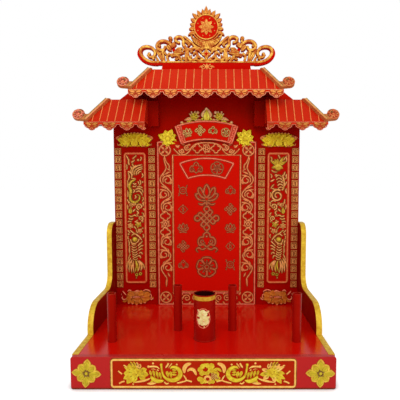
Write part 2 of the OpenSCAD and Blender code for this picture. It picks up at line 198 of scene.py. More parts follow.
class Carving:
    """Closed strokes, domes and plates on a flat face: u right, v up, n out of it."""

    def __init__(self, y, u=0.0, v=0.0, up=(0, 0, 1), out=(0, -1, 0), shade_rim=0.0, raised=0.0):
        self.up, self.out = Vector(up), Vector(out)
        self.origin = (Vector((u, y, v)) + self.out * raised) * MM
        self.verts, self.rise, self.faces, self.slots = [], [], [], []
        self.place = Matrix.Identity(3)
        self.wrap = None
        self.shade_rim = shade_rim      # breadth of the painted shade round each stroke, a low rim in the ground colour
        self.sink = SINK
        self.wall = None      # slot of the sides, if not that of the front

    @contextlib.contextmanager
    def at(self, u, v, turn=0.0, size=1.0, flip=1):
        """What is drawn inside is mirrored if flip is -1, then scaled, turned and moved."""
        kept = self.place
        c, s = polar(size, turn)
        self.place = kept @ Matrix(((c * flip, -s, u), (s * flip, c, v), (0, 0, 1)))
        yield
        self.place = kept

    @contextlib.contextmanager
    def through(self, sink):
        """What is drawn inside reaches back by sink, and its sides have slot 1."""
        kept = self.sink, self.wall
        self.sink, self.wall = sink, 1
        yield
        self.sink, self.wall = kept

    def both(self, first=1):
        """Loop over a plain and a mirrored copy; first is the flip of the first one."""
        for flip in (first, -first):
            with self.at(0, 0, flip=flip):
                yield flip

    def ring(self, count, start=0.0):
        """Loop over copies turned evenly round the origin."""
        for k in range(count):
            with self.at(0, 0, start + 360 * k / count):
                yield k

    def vert(self, u, v, n, rise):
        """New vertex at a drawn place; rise is its height there as a share, for the colour."""
        q = self.place @ Vector((u, v, 1))
        across, forth = q.x, n
        if self.wrap:        # bent round an upright cylinder
            angle, radius = q.x / self.wrap, self.wrap + n
            across, forth = radius * math.sin(angle), radius * math.cos(angle)
        place = Vector((across, 0, 0)) + self.up * q.y + self.out * forth
        self.verts.append(tuple(self.origin + place * MM))
        self.rise.append(rise)
        return len(self.verts) - 1

    def face(self, ids, slot):
        self.faces.append(tuple(ids))
        self.slots.append(slot)

    def quads(self, a, b, slots):
        """Faces between two rings of vertices, with a slot for each."""
        for k, slot in enumerate(slots):
            j = (k + 1) % len(a)
            self.face((a[k], a[j], b[j], b[k]), slot)

    def stroke(self, line, width, height, shape=ROUND, base=0.0, sink=None, taper=(0, 0),
               closed=False, slot=0):
        """Bar along line. width is half its breadth, or that as a function of the share
        of its length; taper is the share that narrows at each end."""
        sink = self.sink if sink is None else sink
        wall = slot if self.wall is None else self.wall
        last = len(line) - 1
        lift = rnd.uniform(0, MAX_LIFT)
        foot, back = base + FOOT + lift, lift - sink
        rings = []
        for i, (u, v) in enumerate(line):
            s = i / last
            a, b = line[i - 1], line[(i + 1) % len(line)]
            if not closed:
                a, b = line[max(i - 1, 0)], line[min(i + 1, last)]
            norm = math.dist(a, b) or 1.0
            nu, nv = (b[1] - a[1]) / norm, (a[0] - b[0]) / norm
            w = width(s) if callable(width) else width
            h = height(s) if callable(height) else height
            for left, reach in ((s, taper[0]), (1 - s, taper[1])):
                if left < reach:
                    w *= POINT + (1 - POINT) * math.sin(left / reach * math.pi / 2)
            # the rim beyond the stroke is painted shade
            far = w + self.shade_rim
            side = [(far, back, 0), (far, foot, 0)][:2 if self.shade_rim else 1]
            cut = [(-x, n, r) for x, n, r in side]
            cut += [(w * t, foot + max(LEAST_RISE, h * r), r) for t, r in shape]
            rings.append([self.vert(u + nu * x, v + nv * x, n, r) for x, n, r in cut + side[::-1]])
        slots = [wall] + [slot] * (len(rings[0]) - 3) + [wall, wall]
        for a, b in zip(rings, rings[1:] + (rings[:1] if closed else [])):
            self.quads(a, b, slots)
        if not closed:
            self.face(rings[0], wall)
            self.face(rings[-1], wall)

    def run(self, points, width, height, step=1.6, **more):
        """Stroke along a smooth line through the points."""
        self.stroke(smooth(points, step), width, height, **more)

    def loop(self, line, width, height, **more):
        """Stroke that closes on itself."""
        self.stroke(line, width, height, closed=True, **more)

    def runs(self, lines, width, height, step=2.0, taper=(0.25, 0.3), **more):
        """Smooth strokes of one kind, narrow at their ends."""
        for points in lines:
            self.run(points, width, height, step, taper=taper, **more)

    def leaf(self, start, end, width, height, bend=0.0, blunt=False, shape=VEIN, base=0.0,
             steps=7, late=0.9, **more):
        """Lens-shaped stroke bowed sideways by bend; the larger late, the nearer to its
        tip it is widest. A blunt one is round there."""
        (u0, v0), (u1, v1) = start, end
        um, vm = (u0 + u1) / 2 - (v1 - v0) * bend, (v0 + v1) / 2 + (u1 - u0) * bend
        line = []
        for s in (i / steps for i in range(steps + 1)):
            a, b, c = (1 - s) ** 2, 2 * s * (1 - s), s * s
            line.append((a * u0 + b * um + c * u1, a * v0 + b * vm + c * v1))
        power, late = (0.5, 1.7) if blunt else (0.85, late)
        self.stroke(line, lambda s: width * max(0.07, math.sin(math.pi * s ** late) ** power),
                    lambda s: height * (0.55 + 0.45 * math.sin(math.pi * min(1, s + 0.1))),
                    shape, base, **more)

    def petal(self, start, end, width, height, **more):
        """Round-ended leaf with a hollow down its middle."""
        self.leaf(start, end, width, height, blunt=True, shape=CUP, **more)

    def petals(self, items, height, **more):
        """Leaves from a list of place of the middle, turn, length and width."""
        for u, v, turn, long, width in items:
            with self.at(u, v, turn):
                self.leaf((0, -long / 2), (0, long / 2), width, height, **more)

    def dome(self, u, v, radius, height, base=0.0, tall=1.0, sides=12, slot=0):
        """Rounded boss; tall stretches it along v."""
        wall = slot if self.wall is None else self.wall
        far = 1 + self.shade_rim / radius
        rings = []
        for share, n, rise in (
                (far, 0.17 - self.sink, 0), (far, base + 0.1, 0), (0.98, base + 0.12, 0),
                (0.86, base + height * 0.55, 0.5), (0.5, base + height * 0.87, 0.9)):
            turned = (polar(radius * share, 360 * k / sides) for k in range(sides))
            rings.append([self.vert(u + a, v + tall * b, n, rise) for a, b in turned])
        top = self.vert(u, v, base + height, 1)
        for level, (a, b) in enumerate(zip(rings, rings[1:])):
            self.quads(a, b, [slot if level else wall] * sides)
        for k in range(sides):
            self.face((rings[-1][k], rings[-1][(k + 1) % sides], top), slot)
        self.face(rings[0], wall)

    def plate(self, outline, top, bottom=0.0, bevel=0.0, slot=0):
        """Flat board with the given outline, its front edge cut back by bevel."""
        wall = slot if self.wall is None else self.wall
        rings = []
        for inset, n in [(0, bottom)] + [(0, top - bevel)] * bool(bevel) + [(bevel, top)]:
            ring = []
            for i, (u, v) in enumerate(outline):
                a, b = outline[i - 1], outline[(i + 1) % len(outline)]
                by = inset / (math.dist(a, b) or 1.0)
                ring.append(self.vert(u - (b[1] - a[1]) * by, v + (b[0] - a[0]) * by, n,
                                      PLATE_RISE))
            rings.append(ring)
        for level, (a, b) in enumerate(zip(rings, rings[1:])):
            self.quads(a, b, [slot if level else wall] * len(a))
        self.face(rings[0], wall)
        self.face(rings[-1], slot)

    def build(self, name, materials, slot, *nodes, sharp=50):
        """One object from all that was drawn; it stands for the CAD nodes named."""
        add_piece(name, self.verts, self.faces, materials, sharp, nodes, self.rise,
                  self.slots)


class Pen:
    """Strokes of one kind, each of them wide and high times the pen's own size."""

    def __init__(self, carving, width, height, shape=ROUND):
        self.carving, self.width, self.height, self.shape = carving, width, height, shape

    def __call__(self, line, wide=1.0, high=1.0, step=None, **more):
        self.carving.stroke(smooth(line, step) if step else line, self.width * wide,
                            self.height * high, self.shape, **more)


# ---------------------------------------------------------------- materials

def rgb(r, g, b):
    """Colour written as 0 to 255 screen values, for a shader."""
    return tuple((c / 255 / 12.92) if c <= 10 else ((c / 255 + 0.055) / 1.055) ** 2.4
                 for c in (r, g, b)) + (1.0,)


class Nodes:
    """A material's or world's node tree, made anew, with helpers that return sockets."""

    def __init__(self, owner):
        owner.use_nodes = True
        self.tree = owner.node_tree
        self.tree.nodes.clear()

    def add(self, kind, inputs=(), **values):
        """New node. An input is a value, or the output that it reads."""
        node = self.tree.nodes.new("ShaderNode" + kind)
        for key, value in values.items():
            setattr(node, key, value)
        for key, value in dict(inputs).items():
            if isinstance(value, bpy.types.NodeSocket):
                self.tree.links.new(value, node.inputs[key])
            else:
                node.inputs[key].default_value = value
        return node

    def noise(self, scale, detail=3.0, stretch=(1, 1, 1)):
        where = self.add("TexCoord").outputs["Object"]
        mapping = self.add("Mapping", {"Scale": stretch, "Vector": where})
        return self.add("TexNoise", {"Scale": scale, "Detail": detail, "Roughness": 0.55,
                                     "Vector": mapping.outputs[0]}).outputs[0]

    def span(self, factor, low, high, from_low=0.3, from_high=0.7):
        return self.add("MapRange", {0: factor, "From Min": from_low, "From Max": from_high,
                                     "To Min": low, "To Max": high}).outputs[0]

    def mix(self, factor, first, second):
        return self.add("Mix", {0: factor, 6: first, 7: second}, data_type="RGBA").outputs[2]

    def times(self, first, second):
        return self.add("Math", {0: first, 1: second}, operation="MULTIPLY").outputs[0]

    def along(self, axis, start, end):
        """0 to 1 as the distance from the frame's middle along an axis goes from start to end."""
        where = self.add("NewGeometry").outputs["Position"]
        apart = self.add("SeparateXYZ", {0: where})
        away = self.add("Math", {0: apart.outputs[axis]}, operation="ABSOLUTE")
        return self.span(away.outputs[0], 0.0, 1.0, start, end)

    def edges(self, radius):
        """Share that a sharp edge is near, and the normal rounded over it."""
        bevel = self.add("Bevel", {"Radius": radius}, samples=4).outputs[0]
        flat = self.add("NewGeometry").outputs["Normal"]
        dot = self.add("VectorMath", {0: bevel, 1: flat}, operation="DOT_PRODUCT")
        return self.span(dot.outputs["Value"], 1.0, 0.0, 0.8, 0.99), bevel

    def bump(self, height, distance, strength, normal=None):
        inputs = {"Height": height, "Distance": distance, "Strength": strength}
        if normal is not None:
            inputs["Normal"] = normal
        return self.add("Bump", inputs).outputs[0]

    def finish(self, colour, roughness, normal, tint, gloss, metallic=0.0, coat=0.0,
               coat_rough=0.08):
        shader = self.add("BsdfPrincipled", {
            "Base Color": colour, "Roughness": roughness, "Normal": normal,
            "Metallic": metallic, "Specular IOR Level": gloss, "Specular Tint": rgb(*tint),
            "Coat Weight": coat, "Coat Roughness": coat_rough})
        self.add("OutputMaterial", {"Surface": shader.outputs[0]})


looks = {}


def lacquer(name, colour, deep, worn_and_lit_tone, rough=(0.14, 0.3), gloss=0.45, coat=0.0, coat_rough=0.08,
            painted_zone=None):
    """Sprayed gloss lacquer: cloudy depth, faint sanding lines, orange peel, and lighter edges
    that stand for wear and a painted highlight. A painted zone is a tone of painted light or
    shade and where it lies, as axes with the places it fades in between."""
    looks[name] = bpy.data.materials.new(name)
    f = Nodes(looks[name])
    deep = rgb(*deep)
    tone = f.mix(f.span(f.noise(14.0, 4.0), 0.0, 0.65), rgb(*colour), deep)
    lines = f.noise(60.0, 2.0, (1.0, 1.0, 0.06))
    tone = f.mix(f.times(f.span(lines, 0.0, 0.3), 0.6), tone, deep)
    # a painted zone of light or shade
    if painted_zone is not None:
        share = 0.85
        for axis, start, end in painted_zone[1:]:
            share = f.times(share, f.along(axis, start, end))
        tone = f.mix(share, tone, rgb(*painted_zone[0]))
    # lighter edges: partly wear, partly a painted highlight
    edge, round_normal = f.edges(0.0012)
    wear_and_highlight = f.times(edge, f.span(f.noise(220.0, 3.0), 0.1, 0.9))
    peel = f.bump(f.noise(620.0, 2.0), 0.00009, 0.35, round_normal)
    f.finish(f.mix(wear_and_highlight, tone, rgb(*worn_and_lit_tone)), f.span(f.noise(45.0, 4.0), *rough), peel,
             (255, 96, 40), gloss, coat=coat, coat_rough=coat_rough)


def gilt(name, bright, shade, ground=None, rough=(0.28, 0.5), edge=None):
    """Gold paint, mottled and brushed. With a ground it is bright where the carving is high,
    with painted shade in its hollows, and the ground shows along its foot, partly the
    lacquer under the gilding and partly painted shade. Sharp edges take the edge tone,
    a painted highlight."""
    looks[name] = bpy.data.materials.new(name)
    f = Nodes(looks[name])
    shade, normal = rgb(*shade), None
    mottle = f.noise(150.0, 4.0)
    tone = f.mix(f.span(mottle, 0.0, 1.0, 0.35, 0.65), rgb(*bright), shade)
    tone = f.mix(f.span(f.noise(700.0, 2.0), 0.0, 0.45, 0.5, 0.75), tone, shade)
    if ground is not None:
        # painted shade: the hollows take the shade and the foot of each stroke the ground
        rise = f.add("Attribute", attribute_name="rise").outputs["Fac"]
        tone = f.mix(f.span(rise, 0.0, 1.0, 0.45, 0.85), shade, tone)
        low = f.span(rise, 1.0, 0.0, 0.12, 0.4)
        tone = f.mix(f.times(low, f.span(mottle, 0.75, 1.0)), tone, rgb(*ground))
    # painted highlight: the edge tone lightens sharp edges
    if edge is not None:
        near, normal = f.edges(0.0008)
        tone = f.mix(f.times(near, 0.6), tone, rgb(*edge))
    brushed = f.bump(f.noise(900.0, 3.0), 0.00012, 0.5, normal)
    f.finish(tone, f.span(mottle, *rough), brushed, (255, 226, 150), 0.4, metallic=0.1)


MATTE, SATIN = {"rough": (0.4, 0.6), "gloss": 0.2}, {"rough": (0.3, 0.45), "gloss": 0.25}
ROOFING, DULL = {"rough": (0.22, 0.38)}, {"rough": (0.6, 0.8)}
lacquer("red_lacquer", (204, 16, 4), (180, 8, 2), (230, 80, 50))
lacquer("deck_lacquer", (216, 14, 3), (208, 11, 2), (230, 80, 50), (0.16, 0.22), 0.6, 0.25, 0.12)
lacquer("wing_lacquer", (140, 4, 1), (124, 2, 1), (186, 50, 36), (0.4, 0.5), 0.1)
# the panel's border is darker than its plain field, painted shade beside its carved lines
lacquer("panel_red_lacquer", (184, 14, 4), (164, 10, 3), (225, 80, 60), **SATIN,
        painted_zone=((206, 12, 3), (0, 0.0715, 0.0705), (2, 0.081, 0.0825), (2, 0.3725, 0.371)))
lacquer("plaque_red_lacquer", (206, 14, 3), (186, 8, 2), (225, 80, 60), **SATIN)
# the base board darkens along the ground, a painted contact shadow
lacquer("base_red_lacquer", (190, 40, 40), (176, 34, 38), (215, 90, 80),
        painted_zone=((84, 44, 22), (2, 0.0034, 0.0016)))
lacquer("dark_red_lacquer", (150, 4, 1), (132, 2, 1), (186, 50, 36), gloss=0.3)
# the wall is painted lighter at its shoulders, painted light where the side light reaches them
lacquer("wall_lacquer", (166, 5, 1), (148, 3, 1), (186, 50, 36), gloss=0.3,
        painted_zone=((204, 22, 6), (0, 0.12, 0.155), (2, 0.47, 0.482)))
lacquer("roof_lacquer", (214, 43, 12), (198, 28, 6), (240, 120, 80), **ROOFING)
lacquer("side_roof_lacquer", (206, 42, 15), (190, 28, 8), (226, 104, 70), **ROOFING)
lacquer("tube_lacquer", (164, 12, 5), (134, 5, 2), (186, 60, 50), (0.2, 0.32), 0.35)
lacquer("column_red_lacquer", (178, 10, 3), (158, 6, 2), (215, 80, 60), **SATIN)
lacquer("carved_ground", (182, 40, 12), (160, 18, 6), (190, 60, 30), **MATTE)
lacquer("curl_lacquer", (186, 72, 56), (152, 42, 34), (230, 130, 110), **MATTE)
lacquer("curl_rust_lacquer", (182, 62, 34), (150, 36, 20), (230, 130, 90), **MATTE)
lacquer("edge_red", (206, 16, 4), (190, 8, 2), (230, 70, 40), gloss=0.03, **DULL)
# near-black for the lining of the tube's mouth
lacquer("tube_mouth_dark", (44, 6, 6), (26, 4, 4), (90, 20, 14), gloss=0.1, **DULL)

# bright tone, shade and ground of each gilding; the shade in hollows and the dark ground are
# painted shade
GILTS = (
    ("yellow", (246, 214, 56), (206, 156, 24), (124, 36, 4)),
    ("copper", (220, 156, 84), (190, 110, 50), (150, 40, 12)),
    ("line", (232, 142, 84), (210, 110, 60), (190, 40, 24)),
    ("hip", (214, 134, 74), (186, 98, 48)),
    ("rim", (222, 176, 54), (186, 130, 26)),
    ("panel_line", (240, 150, 94), (214, 112, 60), (96, 2, 0)),
    ("pink_line", (250, 138, 108), (230, 104, 74), (104, 2, 0)),
    ("pink_gold", (255, 160, 124), (240, 124, 84), (140, 14, 6)),
    ("groove", (255, 142, 104), (182, 92, 48), (84, 2, 0)),
    ("dull", (236, 196, 124), (196, 140, 66), (96, 6, 2)),
    ("cream", (250, 236, 176), (226, 204, 124), (214, 96, 56)),
    ("relief", (252, 176, 110), (196, 128, 52), (92, 4, 0)),
    ("relief_yellow", (224, 192, 62), (176, 132, 28), (96, 12, 2)),
    ("tile", (255, 182, 106), (238, 146, 72), (96, 30, 8)),
    ("tile_ground", (148, 56, 20), (112, 34, 10), (76, 4, 1)),
    ("shell", (255, 180, 96), (232, 136, 62), (120, 40, 14)),
    ("shell_red", (198, 62, 22), (166, 34, 10), (120, 20, 8)),
    ("side_shell", (226, 150, 68), (188, 104, 40), (120, 40, 14)),
    ("rim_pink", (255, 184, 144), (250, 152, 108), (140, 14, 6)),
    ("side_rim_pink", (242, 142, 110), (224, 112, 80), (140, 14, 6)),
    ("crest", (252, 200, 86), (188, 78, 22), (150, 14, 3)),
    ("flame", (246, 196, 88), (212, 112, 42), (160, 14, 4)),
    ("bead", (255, 160, 92), (244, 122, 60), (180, 26, 8)),
    ("orange", (224, 138, 48), (184, 92, 22), (96, 8, 1)),
    ("bright", (240, 218, 58), (206, 164, 28), (128, 60, 8)),
    ("pale", (254, 214, 112), (242, 176, 84), (124, 36, 4)),
    ("shade_pink", (202, 74, 52), (176, 44, 28), (120, 6, 2)),
    ("medallion", (244, 204, 78), (214, 174, 48), (150, 76, 18)),
    ("green_gold", (222, 200, 48), (192, 164, 36), (160, 110, 22)),
    ("strip", (232, 182, 108), (206, 140, 74), (170, 80, 40)),
    ("olive", (168, 128, 70), (130, 88, 46), (90, 40, 20)),
    ("pale_pink", (248, 178, 154), (228, 134, 108), (150, 44, 34)),
    ("curl_amber", (236, 142, 84), (204, 98, 52), (140, 24, 10)),
    ("rose", (250, 160, 104), (232, 124, 72), (150, 40, 16)),
    ("amber", (212, 128, 46), (176, 84, 30), (90, 10, 2)),
    ("leaf", (255, 244, 92), (228, 194, 48), (110, 50, 6)),
    ("tip_peach", (255, 212, 156), (244, 172, 110), (110, 30, 10)),
    ("flower", (255, 234, 56), (206, 170, 24), (110, 50, 6)),
)
for name, *tones in GILTS:
    gilt(name if name in ("tile_ground", "shell_red") else name + "_gilt", *tones)
gilt("lotus_gilt", (255, 230, 48), (220, 176, 22), (110, 48, 4), rough=(0.2, 0.34))
gilt("edge_gilt", (240, 204, 60), (210, 160, 36), edge=(230, 176, 84))

# nodes whose names start so, for each look
FINISHES = {
    "base_red_lacquer": "base_front_board", "deck_lacquer": "deck_board",
    "panel_red_lacquer": "centre_panel", "wall_lacquer": "back_wall",
    "dark_red_lacquer": "side_header roof_soffits", "wing_lacquer": "wing_left wing_right",
    "edge_gilt": "wing_trim", "side_roof_lacquer": "side_roof",
    "roof_lacquer": "centre_roof side_eave centre_eave", "hip_gilt": "side_hip centre_hip",
    "red_lacquer": "crest_base", "carved_ground": "base_front_relief",
    "yellow_gilt": "crest_scrollwork crest_medallion base_medallion plaque_leaf plaque_flower "
                   "lotus_top",
    "plaque_red_lacquer": "plaque", "column_red_lacquer": "column_panel",
    "copper_gilt": "fret_strips lotus_bottom", "tube_lacquer": "incense_tube holder",
}
looks_of = {start: looks[look] for look, starts in FINISHES.items() for start in starts.split()}
for node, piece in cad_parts.items():
    start = max((s for s in looks_of if node.startswith(s)), key=len)
    piece.data.materials.clear()
    piece.data.materials.append(looks_of[start])


# ---------------------------------------------------------------- ornaments
# Each is drawn about its own origin, some 10 mm in radius, before at() scales it.

def curl(c, radius, turns, width, height, start=0.0):
    """Scroll that winds anticlockwise from start into a bead."""
    line = spiral(radius, turns, start)
    c.stroke(line, lambda s: width * (1 - 0.35 * s), height)
    c.dome(*line[-1], width, height * 1.15, sides=10)


def bloom(c, pen):
    """Plum blossom in outline."""
    for _ in c.ring(5):
        pen([(-1.6, 3.4), (-4.6, 5.6), (-4.2, 9), (0, 10), (4.2, 9), (4.6, 5.6), (1.6, 3.4)],
            0.9, step=1.4)
        pen([(0, 3.2), (0, 5.2), (0, 7.0)], 0.5)
    pen(circle(2.0, 12), 0.7, closed=True)


def lotus_line(c, pen):
    """Lotus in outline over a curled stem."""
    pen([(0, -3), (-3, 1), (-2.4, 6), (0, 10), (2.4, 6), (3, 1), (0, -3)], step=1.4)
    for _ in c.both():
        pen([(3.4, 2), (6, 6.6), (8.2, 6.4), (8, 2), (5, -2), (1.5, -3.4)], step=1.4)
        pen([(8.4, 1), (11, 0.6), (9.6, -3), (6, -5.4), (1, -5.6)], step=1.4)
        pen([(1, -7.6), (5, -9.8), (8.6, -8.4)], step=1.4, taper=(0, 0.4))
    pen([(0, -5.4), (0, -8), (0, -10.4)])


def cloud(c, pen, wide=1.0):
    """Cloud head: two scrolls under a pointed lobe."""
    outline = smooth([(0, -8), (-4, -5.2), (-8.6, -6), (-10, -1), (-7.6, 3.2), (-4, 3.6),
                      (-3.4, 7), (0, 9.8)])
    pen(outline + [(-u, v) for u, v in reversed(outline[1:-1])], wide, closed=True)
    for _ in c.both():
        pen(move(spiral(3.2, 1.1, 200, count=12), 5, -1.4), wide * 0.6)
    c.dome(0, 4.4, pen.width * wide * 1.3, pen.height)


def ribbon_cloud(c, pen):
    """Cloud head with two ribbons under it."""
    with c.at(0, 2.4, size=0.86):
        cloud(c, pen, 1.16)
    for _ in c.both():
        pen([(0.8, -5.6), (4.6, -7), (8, -5.2), (10.6, -7.4), (8.6, -10)], step=1.4,
            taper=(0, 0.3))


def knot(c, pen):
    """Endless knot: three cords each way, looped at their ends."""
    with c.at(0, 0, 45):
        for k in (-4, 0, 4):
            pen([(-7, k), (0, k), (7, k)])
            pen([(k, -7), (k, 0), (k, 7)], high=0.85)
        for _ in c.ring(4):
            pen(arc(7, 2, 2, -90, 90, 6))
            pen(arc(6.6, -6.6, 2.7, -160, 110, 10))


def lozenges(c, pen):
    """Two linked diamonds."""
    for u in (-3.4, 3.4):
        pen([(u - 6, 0), (u, 7), (u + 6, 0), (u, -7)], closed=True)
    for v in (-8.6, 8.6):
        c.dome(0, v, 1.4, pen.height)


def coin(c, pen):
    """Round coin with a plain square hole and a ribbon."""
    pen(circle(7), closed=True)
    pen(oblong(2.4, 2.4), 0.8, closed=True)
    for _ in c.both():
        pen([(5, 5), (9, 7), (7, 10), (10, 11)], 0.7, step=1.6)
        pen([(5, -5), (9, -6), (7, -9.5), (10, -11)], 0.7, step=1.6)


def star_flower(c, height, petals, **more):
    """Flower with pointed petals in two rings."""
    for ring, (reach, wide, base) in enumerate(((10.2, 3.5, 0.0), (6.6, 2.4, height * 0.45))):
        for _ in c.ring(petals, 180 * ring / petals):
            c.leaf((0, 1), (0, reach), wide, height * 0.6, base=base, **more)
    c.dome(0, 0, 2.2, height * 0.5, height * 0.8, **more)


def fronds(c, items, width, height, **more):
    """Leaves from a list of place, direction in degrees from up, and length."""
    for u, v, turn, length in items:
        with c.at(u, v, turn):
            c.leaf((0, 0), (0, length), length * width, height, **more)


def quatrefoil(c):
    """Closed outline with four lobes."""
    c.loop([p for k in range(4)
              for p in arc(*polar(5, 90 * k), 4.4, 90 * k - 95, 90 * k + 95, 7)], 1.3, 0.7)


def snowflake(c):
    """Six-sided rosette: hexagon, hub and spokes."""
    c.loop(circle(9, 6), 1.4, 0.7)
    c.loop(circle(3.2, 12), 1.4, 0.7)
    for _ in c.ring(6):
        c.stroke([(3.2, 0), (8.4, 0)], 1.12, 0.7)
        c.stroke([(9, 0), (11.4, 3.4)], 1.12, 0.7)


def lotus(c, w, h, height):
    """Lotus seen from the side: stamens, spreading petals, and petals that droop in front.
    w and h scale it along u and v."""
    def petal(a, b, width, rise, base=0.0, **more):
        c.leaf((a[0] * w, a[1] * h), (b[0] * w, b[1] * h), width, height * rise,
               base=height * base, **more)

    def line(points, width, rise, base):
        c.stroke(points, width, height * rise, base=height * base, slot=1, taper=(0.3, 0.3))

    c.plate([(u * w, v * h) for u, v in (
        (-27, 6), (-15, 1.5), (0, 1), (15, 1.5), (27, 6), (34, 14), (36, 19), (25, 21), (20, 27),
        (-20, 27), (-25, 21), (-36, 19), (-34, 14))], height * 0.35, bevel=0.8)
    for k in range(-3, 4):
        low = 0.5 * abs(k)
        petal((k * 6.0, 20), (k * 6.8, 30 - low), 3.5 * w, 0.3, 0.2, blunt=True)
        line(arc(k * 6.7 * w, (27.4 - low) * h, 2.7 * w, 20, 160, 6), 0.75, 0.16, 0.35)
    for _ in c.both(-1):
        petal((6, 9), (38.4, 20.5), 7.4 * h, 0.5, 0.15, bend=-0.13, shape=CUP)
        petal((5, 7), (34.5, 5), 5.0 * h, 0.5, bend=-0.05, shape=CUP)
        petal((9, 9), (27, 25.5), 6.4 * h, 0.45, 0.3, bend=-0.1, shape=CUP)
        petal((4, 8), (12, 25.5), 6.6 * h, 0.5, 0.35, blunt=True, shape=CUP)
        petal((7, 17), (21, 0.6), 7.4 * h, 0.5, 0.4, blunt=True, shape=CUP, bend=0.12)
        petal((31.5, 18.4), (38.6, 20.6), 2.0 * h, 0.25, 0.4, slot=1)
        c.runs([[(u * w, v * h) for u, v in points] for points in (
            ((24, 22.5), (31, 22.8), (37.6, 20.6)), ((30, 2.6), (34.6, 4.2), (35.6, 7.4)),
            ((35.4, 14.6), (38, 18), (38.2, 20.4)))], 0.9, height * 0.3, 1.5, (0.5, 0.2),
            base=height * 0.35, slot=1)
    petal((0, 13), (0, 26.5), 9.0 * w, 0.4, 0.4, blunt=True, shape=CUP)
    petal((0, 19), (0, 0.8), 8.6 * w, 0.5, 0.5, blunt=True, shape=CUP)
    for u, v, reach, start in ((0, 7.4, 6.0, 212), (20.4, 6.4, 5.2, 200), (-20.4, 6.4, 5.2, 224)):
        line(arc(u * w, v * h, reach * h, start, start + 116, 8), 0.6, 0.12, 0.7)


def low_lotus(c, w, h, height):
    """Lotus lying open: a broad amber heart with a painted highlight across it, painted highlights
    along its upper edges, and curled ends.
    """
    def run(points, width, rise, base, taper=0.3):
        c.run([(u * w, v * h) for u, v in points], width, rise, 1.8, base=height * base,
              taper=(0.3, taper), slot=1)

    def petal(a, b, width, rise=0.35, base=0.45, **more):
        c.leaf((a[0] * w, a[1] * h), (b[0] * w, b[1] * h), width, height * rise,
               base=height * base, shape=CUP, **more)

    c.plate([(u * w, v * h) for u, v in (
        (-20, 3), (-8, 1.5), (8, 1.5), (20, 3.5), (29, 10), (31, 20), (21, 27), (0, 28), (-19, 27),
        (-24, 15))], height * 0.4, bevel=0.8, slot=2)
    for a, b, width in (((-4, 20), (-20, 24), 6.4), ((2, 20), (16, 27), 6.6),
                        ((12, 18), (31, 24), 6.4), ((10, 13), (31, 14), 6.0),
                        ((-10, 16), (-24, 12), 5.4)):
        petal(a, b, width, base=0.4, blunt=True)
    petal((-14, 18), (-6, 25), 6.0, blunt=True, slot=2)
    petal((-9, 12), (10, 9.6), 6.8, 0.4, 0.5, blunt=True, slot=2)
    for u, v, long in ((-18, 3, 12), (-9.5, 2, 11), (0, 0.4, 12), (10, 2.4, 11), (19, 4, 11)):
        petal((u * 0.8, v + long), (u, v), 4.4, blunt=True)
        c.stroke(arc(u * w, (v + 1.8) * h, 1.9, 200, 340, 5), 0.7, 0.7, base=height * 0.6, slot=1)
    # painted highlights across the amber heart
    run([(-9, 16.6), (0, 16.9), (8, 16.6)], 1.2, 1.0, 0.9, 0.2)
    run([(11, 16.4), (14, 17.2), (18, 16.6)], 0.9, 0.8, 0.85)
    # the first three pink strokes are painted highlights along the upper edges; the others are
    # strokes at its ends and heart
    for points in (
            ((-21, 27), (-17, 30.6), (-12, 28.4)), ((-6, 27), (2, 29), (10, 26)),
            ((13, 28.4), (21, 31), (28, 29.6), (32, 26)),
            ((-23, 13), (-29, 10.6), (-33.6, 13.6), (-32, 18.6)),
            ((-24, 20), (-29, 25), (-32, 28.6)), ((-36, 21), (-33, 23)),
            ((-13, 19), (-12.6, 14), (-16, 11)), ((30.6, 23), (33.6, 18.6), (31.6, 12.4)),
            ((32, 10), (36, 12.6), (38.2, 12.2))):
        run(points, 1.35, height * 0.35, 0.3)
    petal((28, 11), (38, 15), 3.6, 0.3, 0.0)
    petal((-22, 10), (-33, 6), 3.6, 0.3, 0.0)


def scaled_body(c, points, half, height):
    """Thick tapering body with rows of overlapping scales."""
    def width(s):
        return half * math.sin(math.pi * min(1, 0.18 + 0.82 * s)) ** 0.7

    line = smooth(points, 2.0)
    c.stroke(line, lambda s: width(s) + 0.4, height * 0.6, slot=1)
    for i in range(1, len(line) - 1, 2):
        (u0, v0), (u1, v1) = line[i - 1], line[i + 1]
        wide = width(i / (len(line) - 1))
        with c.at(*line[i], math.degrees(math.atan2(v1 - v0, u1 - u0)) - 90):
            c.stroke(arc(0, -wide * 0.5, wide * 0.85, 20, 160, 6), 0.55, height * 0.45,
                     base=height * 0.5, slot=1)


# ---------------------------------------------------------------- base carvings

def relief_centre(c):
    """Two open blossoms round dark hearts."""
    c.petals(((-4.5, 6, 62, 9, 4.6), (-1, 11, 28, 8.5, 4.4), (6, 12.5, -8, 8, 4.2),
              (12, 11, -48, 10.5, 5.2), (11.5, 5, -95, 9, 4.4), (5.5, 0.5, 172, 6, 4.2),
              (-2, 0.5, 130, 9, 4.6), (-4, -9, 88, 12, 4.4), (-1, -12.5, 125, 10, 3.8),
              (9.5, -14, 172, 6, 3.0), (2.5, -12.5, 165, 7, 3.6), (14, -12.5, -160, 8, 4.0),
              (21, -7.5, -140, 10, 5.0), (20, -1, -75, 9, 5.0), (15.5, 1.5, -20, 7, 4.0)), 1.9,
             blunt=True, shape=CUP)
    c.loop(circle(6.6, 18, 3, 6.8), 2.8, 1.6, shape=CUP)
    c.loop(circle(4.6, 14, 6.5, -9), 1.9, 1.4, shape=CUP, slot=1)
    c.dome(3, 6.8, 3.6, 0.8, base=0.5, slot=2)
    c.dome(6.5, -9, 2.4, 0.8, base=0.5, slot=2)
    for k in range(4):
        c.stroke(arc(12.5, -10, 3.2 + 2.3 * k, 10, 95, 6), 0.5, 0.5, base=1.7, slot=1)


